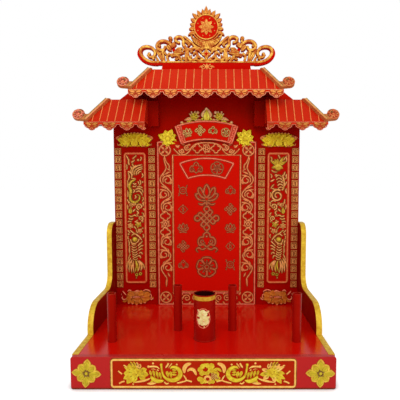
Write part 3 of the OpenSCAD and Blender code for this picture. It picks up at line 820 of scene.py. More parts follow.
def relief_shells(c, left):
    """Twigs and two shells beside the centre of the base's relief."""
    c.run([(29, 0.5), (29.4, 8), (25.4, 13.6), (18.6, 15.8)], swell(1.4, 2.5), 1.7, shape=VEIN,
          taper=(0.1, 0.05), slot=1)
    c.run([(25, 3), (21, 6.6), (15, 5.4), (10.5, -3)], swell(1.4, 1.5), 1.6, shape=VEIN,
          taper=(0.1, 0.2), slot=1 if left else 0)
    c.run([(40.5, -15.5), (33, -13.8), (26.5, -10.7), (30.9, -2.5)], 1.5, 1.5, taper=(0, 0.2),
          slot=1)
    c.run([(27.5, -11), (22, -12), (18, -13.4)], 1.5, 1.5, slot=1)
    # inner shell: broad rim round a hollow with ribs, its end a knobbed stem
    c.run([(51.5, 7.5), (48.5, 10), (42.4, 9.6), (37, 4.8), (35.4, -1), (38, -6.6),
           (43.6, -10.2), (50.4, -10.8), (57, -8.4), (61.6, -3.5), (63.6, 2.6), (64.4, 8.4),
           (64.8, 13)], swell(2.1, 2.7, 1.3, 1.25), 2.3, 2.0, taper=(0.06, 0))
    c.dome(65, 13.8, 2.5, 2.2)
    for u, v, lean in ((56.4, -2.2, -1.8), (51.2, -2.6, -1.2)):
        c.leaf((u + lean * 1.4, v - 5), (u - lean * 0.4, v + 5.8), 2.9, 2.1, blunt=True, bend=0.1)
    for v in (5.2, 1.6, -2.2):
        c.leaf((48.6, v + 0.5), (41, v), 1.8, 1.7)
    # outer shell
    c.run([(81.6, -4.4), (76.6, -9.4), (69, -12.4), (61, -11.2)], swell(1.8, 2.6), 2.2, 2.0,
          taper=(0.1, 0.2))
    for u, v, rise in ((82.2, 0.4, 4.4), (77.2, -0.6, 5.4), (72.2, -1.8, 5.8), (67.4, -3.4, 5.4)):
        c.leaf((u - 2.2, v - rise * 1.25), (u + 0.9, v + rise), 2.2, 2.1, blunt=True, bend=0.1)
    c.stroke([(80.6, 6.8), (76.6, 7.2), (73.4, 5.6)], 0.9, 1.3, slot=1, taper=(0.2, 0.4))
    # curled strokes above the shells
    c.run([(84, 10.6), (78, 11), (72, 10.4), (67.6, 7.4)], 1.8, 1.7, taper=(0, 0.4), slot=1)
    c.dome(84.6, 10.6, 2.3, 1.9, slot=1)
    c.stroke([(71.6, 6), (69, 4.6)], 1.1, 1.4, slot=1)
    c.dome(77.6, 15.8, 1.9, 1.5, slot=1)
    c.run([(58.4, 8.8), (55.6, 12.6), (53.6, 16.2)], 1.8, 1.6, taper=(0.3, 0), slot=1)
    c.stroke([(54, 8.4), (51.4, 12.2), (48.6, 16)], 1.2, 1.5, taper=(0.3, 0), slot=1)
    c.dome(41, 14, 1.7, 1.4, slot=1)
    c.run([(60.6, -13.6), (57, -16.8), (53.8, -15.4)], 1.4, 1.4, slot=1)


def relief_peony(c, left):
    """Peony opening outward: ragged petals, broad on the left and parted on the right,
    hatched leaves above, a bright heart, leaves below and twigs outside."""
    for a, b, width in (
            ((106, 2), (123, -0.6), 5.6), ((106, 3), (122, 10.6), 5.0),
            ((105, 0), (118, -16.4), 6.6), ((104, 0), (123.6, -9), 5.8),
            ((104, -1), (108, -15), 5.2), ((104, 4), (115.6, 14.6), 5.4),
            ((99, 4), (87.4, 7), 4.6), ((98, 1), (84.8, -2.2), 5.6),
            ((99, -2), (89.6, -9.4), 5.2)):
        c.leaf(a, b, width * (1.0 if left else 0.74), 1.4, shape=CUP, late=1.1, bend=0.06,
               slot=0 if left or width > 5.5 else 1)
        c.leaf(a, ((a[0] + b[0]) / 2, (a[1] + b[1]) / 2), width * 0.3, 0.4, base=1.1, slot=3)
    for a, b in (((105, 6), (112.4, 18.8)), ((103, 6), (107.6, 19)), ((100.6, 6), (102.6, 18.2)),
                 ((98, 6), (97.6, 15.4))):
        c.leaf(a, b, 2.6, 1.5, slot=1 if a[0] < 101 else 0, late=1.2)
        c.stroke([((a[0] + b[0]) / 2 + 1, (a[1] + b[1]) / 2), (b[0] + 0.6, b[1] - 2.4)], 0.7, 0.8,
                 base=1.3, slot=1, taper=(0.3, 0.3))
    c.run([(117.6, 8.6), (120.6, 12.2), (123.4, 12.8)], 1.2, 1.4, 1.5, slot=1, taper=(0.3, 0.1))
    for turn, long in ((10, 8), (64, 9.4), (118, 9), (176, 8.6), (236, 8), (300, 7.4)):
        with c.at(103.6, 1.6, turn):
            c.leaf((0, 0.5), (0, long), 3.6, 1.0, base=1.1, shape=CUP, late=1.1)
    c.dome(103.6, 1.6, 3.0, 0.8, base=1.7)
    c.run([(106.6, -14.4), (97.4, -12.8), (88.6, -10.8), (81.4, -7.6)], swell(1.2, 0.9), 1.6, 2.0,
          taper=(0.2, 0.2), slot=1)
    c.leaf((87, -16.4), (72.6, -15.6), 2.4, 1.4, slot=1)
    c.leaf((82, -15), (77, -10.4), 2.2, 1.5)
    c.dome(108.6, -17.4, 1.5, 1.3, slot=1)
    c.stroke([(125.6, -1.2), (128.4, 1.2), (131.4, 4)], 1.4, 1.4, slot=1)
    c.stroke([(121.6, -12.6), (126, -13.6), (130, -16)], 1.6, 1.4, slot=1)


def make_base():
    low, high, mid, half = box("base_front_relief")
    c = Carving(high[1], 0, mid[2], shade_rim=1.0)
    c.plate(rounded(half[0], half[2], 4), 0.4, slot=2)
    c.loop(rounded(half[0] - 1.5, half[2] - 1.5, 3.4), 1.9, 2.0, slot=1)
    relief_centre(c)
    for flip in (-1, 1):
        with c.at(2.5 if flip > 0 else 0, 0, flip=flip):
            relief_shells(c, flip < 0)
            relief_peony(c, flip < 0)
    c.build("base_relief_carving",
            ["bright_gilt", "pale_gilt", "carved_ground", "green_gold_gilt"], "yellow_gilt",
            "base_front_relief")

    for side, turn in (("left", -5), ("right", -1)):
        node = "base_medallion_" + side
        low, high, mid, half = box(node)
        c = Carving(high[1], mid[0], mid[2])
        with c.at(0, 0, turn, half[0] / 10.15):
            for _ in c.ring(4):
                with c.at(0, 0, 45):
                    c.petal((0, 1), (0, 7.9), 2.9, 1.3)
                    c.leaf((0, 2), (0, 6.6), 2.1, 0.4, base=1.1, slot=1)
                c.leaf((0, 1), (0, 10), 2.9, 1.9, shape=CUP, late=1.35)
                c.leaf((0, 1.4), (0, 8.6), 2.2, 0.4, base=1.6, slot=1, late=1.2)
            for _ in c.ring(5, 10):
                c.leaf((0, 0.8), (0, 3.1), 0.4, 0.4, base=1.9, slot=2)
            c.loop(circle(1.8, 18), 0.24, 0.6, base=1.9, slot=2)
            c.dome(0, 0, 1.3, 0.7, base=1.7, slot=1)
        c.build(node + "_carving", ["medallion_gilt", "green_gold_gilt", "olive_gilt"],
                "yellow_gilt", node)


# ---------------------------------------------------------------- centre panel and plaque

FAN_R, FAN_BAND = 196.0, 40.0
BORDER_SIDE, BORDER_FOOT, BORDER_HEAD = 33.0, 30.0, 29.0


def scroll_band(c, stem, scrolls):
    """Winding stem with a spiral and leaves in each bend; a scroll is a place and the
    side its stem passes on."""
    c.run(stem, 1.5, 0.7, 2.0)
    for u, v, flip in scrolls:
        with c.at(u, v, flip=flip):
            c.run([(-7.5, -4.5), (-8.2, 2), (-4, 7.4), (2.6, 7.8), (7.6, 4), (7.8, -2.6),
                   (3, -6.4), (-2.6, -4.6), (-3.6, 0.6), (0.4, 3)], 1.35, 0.7, 1.8)
            c.run([(7.4, 3), (10.4, -0.4), (8.4, -5.6), (3.4, -8.4)], 1.2, 0.7, 2.0,
                  taper=(0, 0.4))
            c.leaf((-4.6, 11.2), (8.4, 17.4), 1.9, 0.7, bend=0.14)
            c.leaf((-1, 10), (10.6, 10.6), 1.8, 0.7, bend=-0.12)
            c.leaf((-9.4, 7), (-5.4, 13.6), 1.5, 0.7, bend=-0.1)
            c.leaf((7.4, -9), (11.4, -4), 1.4, 0.7)


def side_band(c, top, middle, bottom):
    """Ornaments down one side of the panel's border."""
    for v in (middle - 17.5, middle + 17):
        with c.at(0, v, 0, 1.1):
            quatrefoil(c)
    with c.at(0, middle, 30, 0.92):
        snowflake(c)
    with c.at(0, top):
        scroll_band(c, [(0, -30), (-1.7, -38), (1.3, -49), (2.5, -56), (-1.7, -64.5), (-8.3, -73),
                        (-10.1, -81.4), (-6.5, -88.6), (0.7, -94.6), (7.9, -102), (12.6, -108.5),
                        (12.8, -114), (8.6, -118.7), (-1.7, -124.7), (-7.1, -130.8),
                        (-8.3, -139), (-4.7, -147.6), (0, middle - top + 24)],
                    [(3.7, -81, 1), (-1.1, -111, -1), (4, -138, 1)])
        c.run([(-1.1, -32), (3.1, -43), (8.5, -50), (9, -57.5)], 1.4, 0.7, 2.0)
        c.leaf((4, -57), (12, -61), 1.5, 0.7)
    with c.at(0, middle):
        scroll_band(c, [(-3, -24), (-7.6, -29), (-8.8, -43.5), (-1.6, -52), (5.7, -59),
                        (10.5, -66.3), (8.1, -74.8), (-1.6, -84.4), (-8.8, -91.6), (-8.6, -99),
                        (-4, -107.3), (1.6, -116), (2.3, -123)],
                    [(2, -37.4, 1), (-1.6, -65, -1), (3.2, -92.8, 1)])
        c.leaf((4, -104), (9, -114), 1.7, 0.7)
        c.leaf((2, -116), (1, -135), 2.2, 0.7)
    for v in (top - 18.5, bottom + 17):
        with c.at(0, v):
            c.loop(circle(11.5, 24), 1.5, 0.7)
            for _ in c.ring(4, 45):
                c.leaf((0, 1.5), (0, 10.5), 2.6, 0.7)
            c.dome(0, 0, 1.6, 0.8)


def make_panel():
    low, high, mid, half = box("centre_panel")
    half_w, bottom, top = high[0], low[2], high[2]
    c = Carving(low[1], shade_rim=0.8)
    inner_x = half_w - BORDER_SIDE
    inner_low, inner_high = bottom + BORDER_FOOT, top - BORDER_HEAD
    middle, span = (inner_low + inner_high) / 2, inner_high - inner_low
    edge = half_w - 2
    corners = [(edge, bottom + 2), (edge, top - 2), (-edge, top - 2), (-edge, bottom + 2)]
    for a, b in ((0, 1), (2, 3), (3, 0)):
        c.stroke([corners[a], corners[b]], 1.5, 0.7, slot=1)
    for side in (1, -1):
        c.stroke([(side * edge, top - 2), (side * (half_w - 22), top - 2)], 1.5, 0.7, slot=1)
    c.loop([(inner_x, inner_low), (inner_x, inner_high), (-inner_x, inner_high),
              (-inner_x, inner_low)], 1.7, 0.8)
    for _ in c.both():
        with c.at(half_w - BORDER_SIDE / 2, 0, flip=-1):
            side_band(c, top, middle, bottom)
    # between the plaque and the inner frame
    with c.at(0, top - 15, 0, 0.9):
        snowflake(c)
    for _ in c.both():
        with c.at(0, top):
            with c.at(19.5, -15):
                quatrefoil(c)
            c.run([(0, -3), (14, -4), (26, -8), (33, -15), (38, -23), (45, -27.4), (54, -28)],
                  1.4, 0.7)
            c.run([(56, -28), (62, -23), (69, -15.5)], 1.4, 0.7)
            for u, v, flip, radius, start in ((41.5, -13, 1, 6.2, 200), (52, -20, -1, 5.6, 160)):
                with c.at(u, v, flip=flip):
                    curl(c, radius, 1.3, 1.7, 0.7, start)
            fronds(c, ((33, -7, -95, 9), (36, -21, 30, 8), (46, -8, -60, 10), (58, -14, -50, 10),
                       (56, -9, -110, 8), (47, -25, -20, 7)), 0.24, 0.7)
        # bottom band
        for k, u in enumerate((9, 26, 43, 60)):
            with c.at(u, bottom + 15, 90 * (k % 2), 0.95, flip=(-1) ** k):
                curl(c, 8.6, 1.3, 1.7, 0.7)
            fronds(c, ((u + 8.5, bottom + 22, -35, 8), (u + 8.5, bottom + 8, -145, 8)), 0.26, 0.7)
        c.stroke([(1, inner_low - 3.6), (inner_x, inner_low - 3.6)], 1.2, 0.7, slot=1)
    # outline of a fan
    with c.at(0, inner_high - 157):
        outer, inner, spread, inner_spread = 150.5, 115.5, 22.0, 22.0 * 0.9
        for radius, turn in ((outer, spread), (inner, inner_spread)):
            c.stroke(arc(0, 0, radius, 90 + turn, 90 - turn, 20), 1.5, 0.7, slot=1)
        for side in (1, -1):
            c.stroke([polar(outer, 90 - side * spread), polar(inner, 90 - side * inner_spread)],
                     1.5, 0.7, slot=1)
    c.build("centre_panel_carving", ["panel_line_gilt", "pink_line_gilt"], "copper_gilt")

    c = Carving(low[1], shade_rim=0.6)
    small = (coin, lozenges, lotus_line, knot, cloud)
    spots = [(u, inner_high - 27, 1.3, 1.0, 0.82, make) for u, make in ((-22, cloud), (22, bloom))]
    spots += [(0, inner_low + span * place, 2.12, 1.2, 0.8, make) for place, make in (
        (0.714, lotus_line), (0.543, knot), (0.364, ribbon_cloud), (0.182, bloom))]
    spots += [(side * 50, inner_low + span * (0.745 - 0.1365 * k), 1.0, 0.9, 0.88, make)
              for side in (-1, 1) for k, make in enumerate(small[::-side])]
    for u, v, size, height, width, make in spots:
        with c.at(u, v, size=size):
            make(c, Pen(c, width, height, GROOVE))
    c.build("centre_panel_ornaments", ["groove_gilt"], "copper_gilt")


def make_plaque():
    low, high, mid, half = box("plaque")
    fan_v, inner = high[2] - FAN_R, FAN_R - FAN_BAND
    spread = math.degrees(math.asin(high[0] / FAN_R))
    c = Carving(low[1], 0, fan_v, shade_rim=0.6)
    rim = 1.6
    reach = spread - math.degrees(1.4 / FAN_R)
    c.loop(arc(0, 0, FAN_R - rim, 90 + reach, 90 - reach, 24)
             + arc(0, 0, inner + rim, 90 - reach, 90 + reach, 24), 1.5, 1.1, slot=1)
    for _ in c.both():
        with c.at(0, 0, -spread):
            c.plate([polar(r, 90 + d) for d, r in ((0.7, inner + rim), (3.4, inner + rim),
                                                   (3.4, FAN_R - rim), (0.7, FAN_R - rim))],
                    0.4, slot=2)
            for k in range(7):
                with c.at(*polar(inner + 5.5 + k * 4.9, 91.9), 1.9 + 40 * (-1) ** k):
                    c.leaf((-3.6, 0), (3.6, 0), 1.5, 0.9, slot=1)
            c.stroke([polar(inner + 2, 93.6), polar(FAN_R - 2, 93.6)], 0.8, 0.9, slot=1)
    for k, make in enumerate((lotus_line, knot, cloud, bloom)):
        turn = spread * (0.66 - 0.44 * k)
        with c.at(*polar(FAN_R - FAN_BAND * 0.5, 90 + turn), turn, 0.86):
            make(c, Pen(c, 1.15, 1.4))
    c.build("plaque_carving", ["dull_gilt", "pink_line_gilt", "shade_pink_gilt"], "copper_gilt")

    top = high[2]
    low, high, mid, half = box("plaque_leaf_carving")
    end, tall, deep = high[0], high[2] - top, high[1] - low[1]
    c = Carving(high[1], 0, top, shade_rim=0.4)
    c.leaf((0, tall * 0.2), (0, tall * 0.99), 13.0, deep * 0.5, shape=CUP, base=0.6, late=0.6,
           steps=10, slot=1)
    c.leaf((0, -2), (0, tall * 0.8), 8.0, deep * 0.5, base=deep * 0.4)
    for _ in c.both():
        c.stroke(move(spiral(4.6, 1.1, 100), 7.4, 4), 1.8, deep * 0.5, base=1.0)
        fronds(c, ((10, 0, -70, 10), (17, 2, -100, 8)), 0.3, deep * 0.4, base=0.8, slot=1)
        with c.at(26, 8.8, 12, 1.1):
            star_flower(c, deep * 0.75, 5)
            for _ in c.ring(5):
                c.leaf((0, 6.4), (0, 10.8), 1.5, 0.8, base=deep * 0.5, slot=1)
        c.run([(28, 12), (31, 17), (31.5, 20)], 2.0, deep * 0.5, taper=(0, 0.2), slot=1)
        c.dome(18.6, 17.4, 3.4, deep * 0.6, slot=1)
        c.run([(23, 12), (20, 15)], 1.6, deep * 0.4)
        c.leaf((31, 8), (47, 1.5), 3.4, deep * 0.55, bend=-0.1, base=0.6, slot=1)
        c.leaf((32, 3), (44, -5), 3.0, deep * 0.5, bend=-0.06)
        c.run([(30, 0), (38, -3), (46, -5), (end - 3.4, -5)], 1.8, deep * 0.5, taper=(0.1, 0))
        c.dome(end - 3.8, -3.4, 3.4, deep * 0.6, slot=1)
    # the leaves are gilded lighter than the yellow carving elsewhere, painted light to make up for
    # the canopy's shadow
    c.build("plaque_leaves", ["leaf_gilt", "tip_peach_gilt"], "yellow_gilt",
            "plaque_leaf_carving")

    for side, turn in (("left", 22.5), ("right", 12)):
        node = "plaque_flower_" + side
        low, high, mid, half = box(node)
        c = Carving(high[1], mid[0], mid[2])
        with c.at(0, 0, turn, half[0] / 10.4):
            for k in c.ring(8):
                c.leaf((0, 1), (rnd.uniform(-0.8, 0.8), 10.3 if k % 2 else rnd.uniform(8.4, 9.4)),
                       3.5, 5.5, shape=CUP, sink=0, bend=rnd.uniform(-0.06, 0.06))
            for _ in c.ring(6, 10):
                c.petal((0, 0.5), (0, rnd.uniform(5.6, 7.0)), 2.7, 3.0,
                       base=5.0)
            c.dome(0, 0, 2.2, 2.4, base=7.0)
            c.loop(circle(1.9, 10), 0.6, 1.2, base=8.0)
        c.build(node + "_carving", ["flower_gilt"], "yellow_gilt", node)


# ---------------------------------------------------------------- columns

TILE_W, TILE_PITCH = 14.0, 17.0
LOTUS_HALF_W, LOTUS_H, LOW_LOTUS_H = 39.0, 32.0, 33.0      # as they are drawn


def fret_tile(c, half_w, half_h):
    """Raised square with a rim and a square spiral round a bead."""
    c.plate(oblong(half_w, half_h), 1.4, bevel=0.4, slot=1)
    w, h = half_w - 0.85, half_h - 0.85
    c.loop(oblong(w, h), 0.85, 1.5, base=1.3)
    w, h = w - 2.6, h - 2.7
    c.stroke([(-w, -h - 1.8), (-w, h), (w, h), (w, -h), (-w * 0.2, -h)], 0.85, 1.4, base=1.3,
             shape=FLAT)
    c.dome(0.2, 0.4, 1.3, 1.5, base=1.3, sides=8)


def column_upper_left(c):
    """Crested bird over a winding golden tail."""
    c.runs((((-18, -5), (-15, -10), (-12, -17)), ((-5, -13), (0, -9), (4, -5)),
            ((-11, -14), (-13, -20), (-11, -26)), ((-8, -20), (-3, -18), (0, -14)),
            ((-6, -22), (-4, -26), (-1, -29)), ((-9, -28), (-7, -33), (-8, -37))), 1.8, 1.9, 1.6,
           (0.3, 0.3))
    c.dome(7, -15, 2.3, 1.8)
    c.runs((((-3, -46), (-4, -35), (4, -28), (16, -25)), ((0, -47), (0, -38), (7, -32), (17, -29)),
            ((3, -47), (4, -40), (10, -35), (17, -33)),
            ((-7, -44), (-8, -37), (-4, -31), (4, -26)), ((6, -45), (8, -41), (14, -38))),
           1.6, 1.9, taper=(0.2, 0.25))
    c.runs((((-15, -39), (-10, -41), (-6, -46), (-8, -53)), ((-14, -41), (-12, -50), (-14, -58)),
            ((-8, -53), (-3, -54), (2, -56))), 1.9, 2.0, taper=(0.2, 0.2))
    scaled_body(c, [(0, -56), (-8, -61), (-12, -70), (-9, -80), (-11, -92), (-8, -101), (0, -104),
                    (8, -98), (9, -90), (3, -87)], 3.5, 2.8)
    c.runs((((10, -56), (12, -63), (8, -69)), ((4, -72), (9, -71), (16, -73)),
            ((0, -77), (8, -75), (15, -78), (17, -84)), ((1, -82), (8, -80), (13, -84), (15, -90)),
            ((-1, -88), (2, -93), (-2, -96)), ((-5, -63), (0, -66), (3, -63)),
            ((-5, -70), (0, -71), (3, -68)), ((-4, -76), (-1, -80), (-5, -84)),
            ((-16, -57), (-15, -65), (-16, -72)), ((-16, -78), (-15, -86), (-16, -93))), 1.6, 1.9)
    c.dome(16, -61, 1.7, 1.6)
    c.runs((((12, -8), (14, -12), (11, -17)), ((15, -42), (17, -48), (14, -52)),
            ((-17, -24), (-16, -30), (-17, -35)), ((16, -92), (17, -97), (14, -102)),
            ((-17, -97), (-15, -102), (-10, -105)), ((5, -60), (8, -62), (7, -66))), 1.5, 1.7)


def column_upper_right(c):
    """Golden bird with spread wings over a coiled tail."""
    with c.at(-1, -27):
        for turn, long in ((55, 21), (28, 16), (5, 15), (-32, 22), (-62, 20), (110, 14),
                           (-120, 12)):
            with c.at(0, 0, turn):
                c.leaf((0, 1), (0, long), 3.2, 2.2, slot=1)
        c.dome(0, -2, 7.5, 2.6, tall=1.2, slot=1)
    c.runs((((-1, -4), (1, -8), (3, -13)), ((18, -6), (14, -10), (10, -16)),
            ((-15, -36), (-9, -40), (-2, -40)), ((14, -39), (12, -45), (9, -49)),
            ((18, -52), (12, -56), (7, -60)), ((-17, -60), (-12, -58), (-8, -55)),
            ((-9, -66), (-13, -70), (-16, -75)), ((-15, -74), (-9, -76), (-4, -78)),
            ((18, -60), (15, -66), (12, -70))), 1.6, 1.9)
    for k in range(5):
        c.stroke(arc(0.5 + 1.2 * k, -53 - 6 * k, 6.2 - 0.2 * k, 160, 20, 7), 1.4, 2.0 + 0.1 * k)
    c.run([(8, -46), (12, -60), (11, -74), (7, -78)], 2.0, 2.2, taper=(0.2, 0))
    c.stroke(move(spiral(13.2, 1.55, 60, 0.25, 34), -2, -90), lambda s: 2.3 * (1 - 0.3 * s), 2.3)
    c.runs((((-16, -103), (-10, -100), (-5, -103)), ((14, -97), (13, -104), (9, -108)),
            ((-17, -44), (-14, -48), (-15, -53)), ((17, -44), (16, -49), (18, -53)),
            ((-17, -82), (-15, -88), (-17, -94)), ((17, -74), (16, -80), (18, -86)),
            ((-8, -48), (-5, -46), (-2, -47)), ((15, -8), (17, -13), (16, -19)),
            ((-17, -8), (-14, -13), (-16, -19))), 1.6, 1.9)


def column_lower(c):
    """Clouds, a bud and blossoms over a ribbed beast with a feathered tail."""
    for u, v, size, flip in ((-9, -110, 0.5, 1), (9, -113, 0.82, -1), (11, -138, 0.66, 1)):
        with c.at(u, v, 0, size, flip):
            curl(c, 8.5, 1.35, 2.4, 2.2, -80)
            fronds(c, ((8, 4, -50, 10), (-7, 6, 40, 9), (-8, -5, 120, 9)), 0.3, 2.0)
    c.leaf((-11, -128), (-10, -114), 4.4, 2.6, slot=1, late=0.6)
    c.runs((((-14, -132), (-8, -134), (-2, -131), (3, -134)), ((2, -121), (6, -126), (2, -131)),
            ((-6, -124), (-2, -120), (1, -117)), ((-15, -138), (-9, -140), (-4, -138)),
            ((-2, -144), (4, -147), (9, -150))), 1.8, 2.0, taper=(0.2, 0.3))
    with c.at(6, -151, 20, 0.72):
        star_flower(c, 2.2, 5, slot=1)
    for v in (-145, -159):
        c.dome(15, v, 1.7, 1.8)
    with c.at(-11, -154, size=0.66):
        star_flower(c, 2.2, 6)
    with c.at(9, -165, 40, 0.6):
        star_flower(c, 2.0, 5)
    c.runs((((-17, -146), (-13, -144), (-8, -146)), ((-4, -154), (-1, -158), (2, -162)),
            ((-17, -162), (-15, -166), (-11, -169)), ((3, -161), (2, -166), (5, -170)),
            ((15, -171), (17, -176), (15, -180)), ((-2, -112), (-5, -108), (-9, -106)),
            ((-16, -108), (-17, -114), (-15, -119)), ((16, -104), (17, -109), (15, -113)),
            ((13, -126), (17, -128), (16, -133)), ((-16, -175), (-17, -180), (-14, -183))),
           1.5, 1.7)
    c.run([(-12, -163), (-6, -168), (-1, -173)], 1.4, 1.7)
    c.dome(-15, -172, 2.4, 1.9)
    # beast: brow, ribs, side feathers, tail
    c.run([(-10, -176), (-3, -171), (6, -176), (13, -185)], 1.9, 2.6, taper=(0.2, 0.2))
    c.run([(-11, -183), (-9, -190), (-3, -192), (4, -188), (7, -182)], 1.6, 2.2)
    c.dome(-2, -183, 6.2, 2.6, tall=0.9, slot=1)
    for k in range(7):
        c.stroke(arc(-4 + 0.4 * k, -190 - 5.2 * k, 6.2 - 0.35 * abs(k - 3), 200, 340, 7), 1.3, 2.3)
    c.runs((((4, -197), (9, -192), (15, -186)), ((5, -202), (11, -197), (16, -196)),
            ((5, -207), (11, -203), (15, -204)), ((6, -213), (11, -211), (14, -215)),
            ((3, -219), (8, -218), (10, -224)), ((-13, -196), (-14, -206), (-13, -214)),
            ((-12, -214), (-15, -221), (-17, -227)), ((-16, -184), (-14, -190), (-15, -197))),
           1.7, 2.0, taper=(0.15, 0.3))
    for slot, *line in (
            (0, (-8, -226), (-13, -238), (-12, -254)), (0, (-5, -228), (-8, -242), (-7, -256)),
            (1, (-1, -228), (2, -240), (0, -254)), (0, (3, -228), (9, -238), (7, -252)),
            (0, (6, -228), (14, -238), (15, -248)), (0, (-11, -222), (-17, -234), (-16, -246))):
        for side in (-1.5, 1.5):
            c.run([(u + side * k, v) for k, (u, v) in enumerate(line)], swell(1.0, 0.7), 2.1, 2.0,
                  taper=(0.1, 0.3), slot=slot)
    for u, v in ((1, -259), (9, -257)):
        c.loop(circle(2.4, 12, u, v), 1.1, 2.4, slot=1)
    c.dome(0, -266, 1.4, 1.6)


def make_columns():
    for side, flip, upper in (("left", 1, column_upper_left), ("right", -1, column_upper_right)):
        low, high, mid, half = box("fret_strips_" + side)
        c = Carving(high[1], shade_rim=0.5)
        count = round(half[2] * 2 / TILE_PITCH)
        pitch = half[2] * 2 / count
        for u in (low[0] + TILE_W / 2, high[0] - TILE_W / 2):
            with c.at(u, mid[2]):
                c.plate(oblong(TILE_W / 2, half[2]), 1.0, slot=2)
            for k in range(count):
                with c.at(u, low[2] + pitch * (k + 0.5), flip=(-1) ** k):
                    fret_tile(c, TILE_W / 2 - 0.3, pitch / 2 - 1.3)
        c.build("fret_tiles_" + side, ["tile_gilt", "tile_ground", "dark_red_lacquer"],
                "copper_gilt", "fret_strips_" + side, sharp=35)

        low, high, mid, half = box("column_panel_" + side)
        c = Carving(low[1], mid[0], low[2], shade_rim=1.1)
        with c.at(0, half[2]):
            c.loop(rounded(half[0] - 1.5, half[2] - 1.5, 4.5), 1.45, 1.3, slot=2)
        with c.at(0, half[2] * 2):
            upper(c)
            with c.at(0, 0, flip=flip):
                column_lower(c)
        c.build("column_carving_" + side, ["relief_gilt", "relief_yellow_gilt", "line_gilt"],
                "copper_gilt")

        node = "lotus_top_" + side
        low, high, mid, half = box(node)
        c = Carving(high[1], mid[0], low[2], shade_rim=0.55)
        lotus(c, (half[0] - 0.3) / LOTUS_HALF_W, half[2] * 2 / LOTUS_H, 6.8)
        c.build(node + "_carving", ["lotus_gilt", "rose_gilt"], "yellow_gilt", node)

        node = "lotus_bottom_" + side
        low, high, mid, half = box(node)
        c = Carving(high[1], mid[0], low[2])
        with c.at(0, 0, flip=flip):
            low_lotus(c, (half[0] - 0.3) / LOTUS_HALF_W, half[2] * 2 / LOW_LOTUS_H, 6.4)
        c.build(node + "_carving", ["orange_gilt", "pink_gold_gilt", "amber_gilt"], "copper_gilt",
                node)


# ---------------------------------------------------------------- roofs

SLOPE_RUN, HIP_T, HIP_W, CURL_R, CURL_OUT, CURL_UP = 29.0, 7.0, 6.0, 12.0, 9.5, 13.5
SCALLOP_W, SCALLOP_H, BAND_H, SCALLOP_PITCH = 27.5, 10.8, 5.5, 34.0
SLANT, SIDE_SLANT = 36.5, 39.5      # how much shorter the ridges are than the eaves, a side
BEAD_PITCH, SIDE_BEAD_PITCH = 15.7, 15.5


def scallop_line(step=1.5):
    """Lower edge of one scallop, left to right, its top edge on v = 0."""
    half = [(-SCALLOP_W * a, -SCALLOP_H * b) for a, b in (
        (0.5, 0), (0.475, 0.3), (0.36, 0.56), (0.235, 0.66), (0.17, 0.88), (0, 1.02))]
    return smooth(half + [(-u, v) for u, v in reversed(half[:-1])], step)


def eave_carving(name, node, left, right, first, gold, rim, flip=1):
    """Gilded scallops with a light rim along a red eave board."""
    low, high, mid, half = box(node)
    c = Carving(low[1], 0, high[2])
    with c.at(0, 0, flip=flip):
        outline = [(left + 0.6, 0.6 - BAND_H)]
        for k in range(int((right - first) / SCALLOP_PITCH) + 1):
            u = first + k * SCALLOP_PITCH
            outline += [(u + a, 0.2 - BAND_H + b) for a, b in scallop_line()
                        if left + 0.8 < u + a < right - 0.8]
            shell = [(min(right - 0.8, max(left + 0.8, u + a * 0.9)), b * 0.9 - BAND_H)
                     for a, b in scallop_line(3.0)]
            shell = [p for i, p in enumerate(shell) if not i or math.dist(p, shell[i - 1]) > 0.05]
            c.plate([(shell[0][0], -1.2)] + shell + [(shell[-1][0], -1.2)], 0.5, slot=3)
            if left < u - 10 and u + 10 < right:
                for side in (-1, 1):
                    c.leaf((u + side * 12.4, -2.9), (u + side * 0.8, -6.6), 2.8, 0.9,
                           bend=-0.12 * side, base=0.4)
                c.leaf((u - 4.2, -2.3), (u + 4.2, -2.3), 1.2, 0.6, base=0.4)
            if left < u < right:
                c.stroke(arc(u, -12.0, 2.6, 170, 370, 8), 0.75, 0.9, base=0.4, slot=1)
                c.dome(u, -12.0, 1.4, 0.6, 0.5, sides=8)
            for side in (-1, 1):
                if left + 1 < u + side * 11 < right - 1:
                    c.leaf((u + side * 2.8, -9.6), (u + side * 10.6, -7.4), 1.5, 0.8,
                           bend=-0.1 * side, base=0.4)
        outline.append((right - 0.6, 0.6 - BAND_H))
        c.stroke(outline, 0.72, 1.5, slot=1)
        c.stroke([(left + 0.3, -0.9), (right - 0.3, -0.9)], 0.7, 1.0, slot=1)
    c.build(name, [gold, rim, "dark_red_lacquer", "shell_red"], "copper_gilt")


def slope(node, raised=0.0):
    """Carving on a roof slope, from its front foot, and the slope's length."""
    low, high, mid, half = box(node)
    climb = high[2] - low[2]
    length = math.hypot(SLOPE_RUN, climb)
    run, rise = SLOPE_RUN / length, climb / length
    return Carving(low[1], 0, low[2], (0, run, rise), (0, -rise, run), raised=raised), length


def roof_carving(name, node, lines, eave_x, ridge_x, lean):
    """Gilded beads up a slope; each is a place. The ends of the slope slant from the
    eave's half-length to the ridge's. The foot of a bead is lean to the left of its head."""
    c, length = slope(node)
    for u in lines:
        top = min(1.0, (eave_x - HIP_W * 0.9 - abs(u)) / (eave_x - ridge_x))
        if top > 0.12:
            foot = u - lean(u) * top
            c.stroke([(foot, 0.5), ((foot + u) / 2, length * top / 2), (u, length * top - 0.8)],
                     1.15, 1.3)
    c.build(name, ["bead_gilt"], "edge_gilt")


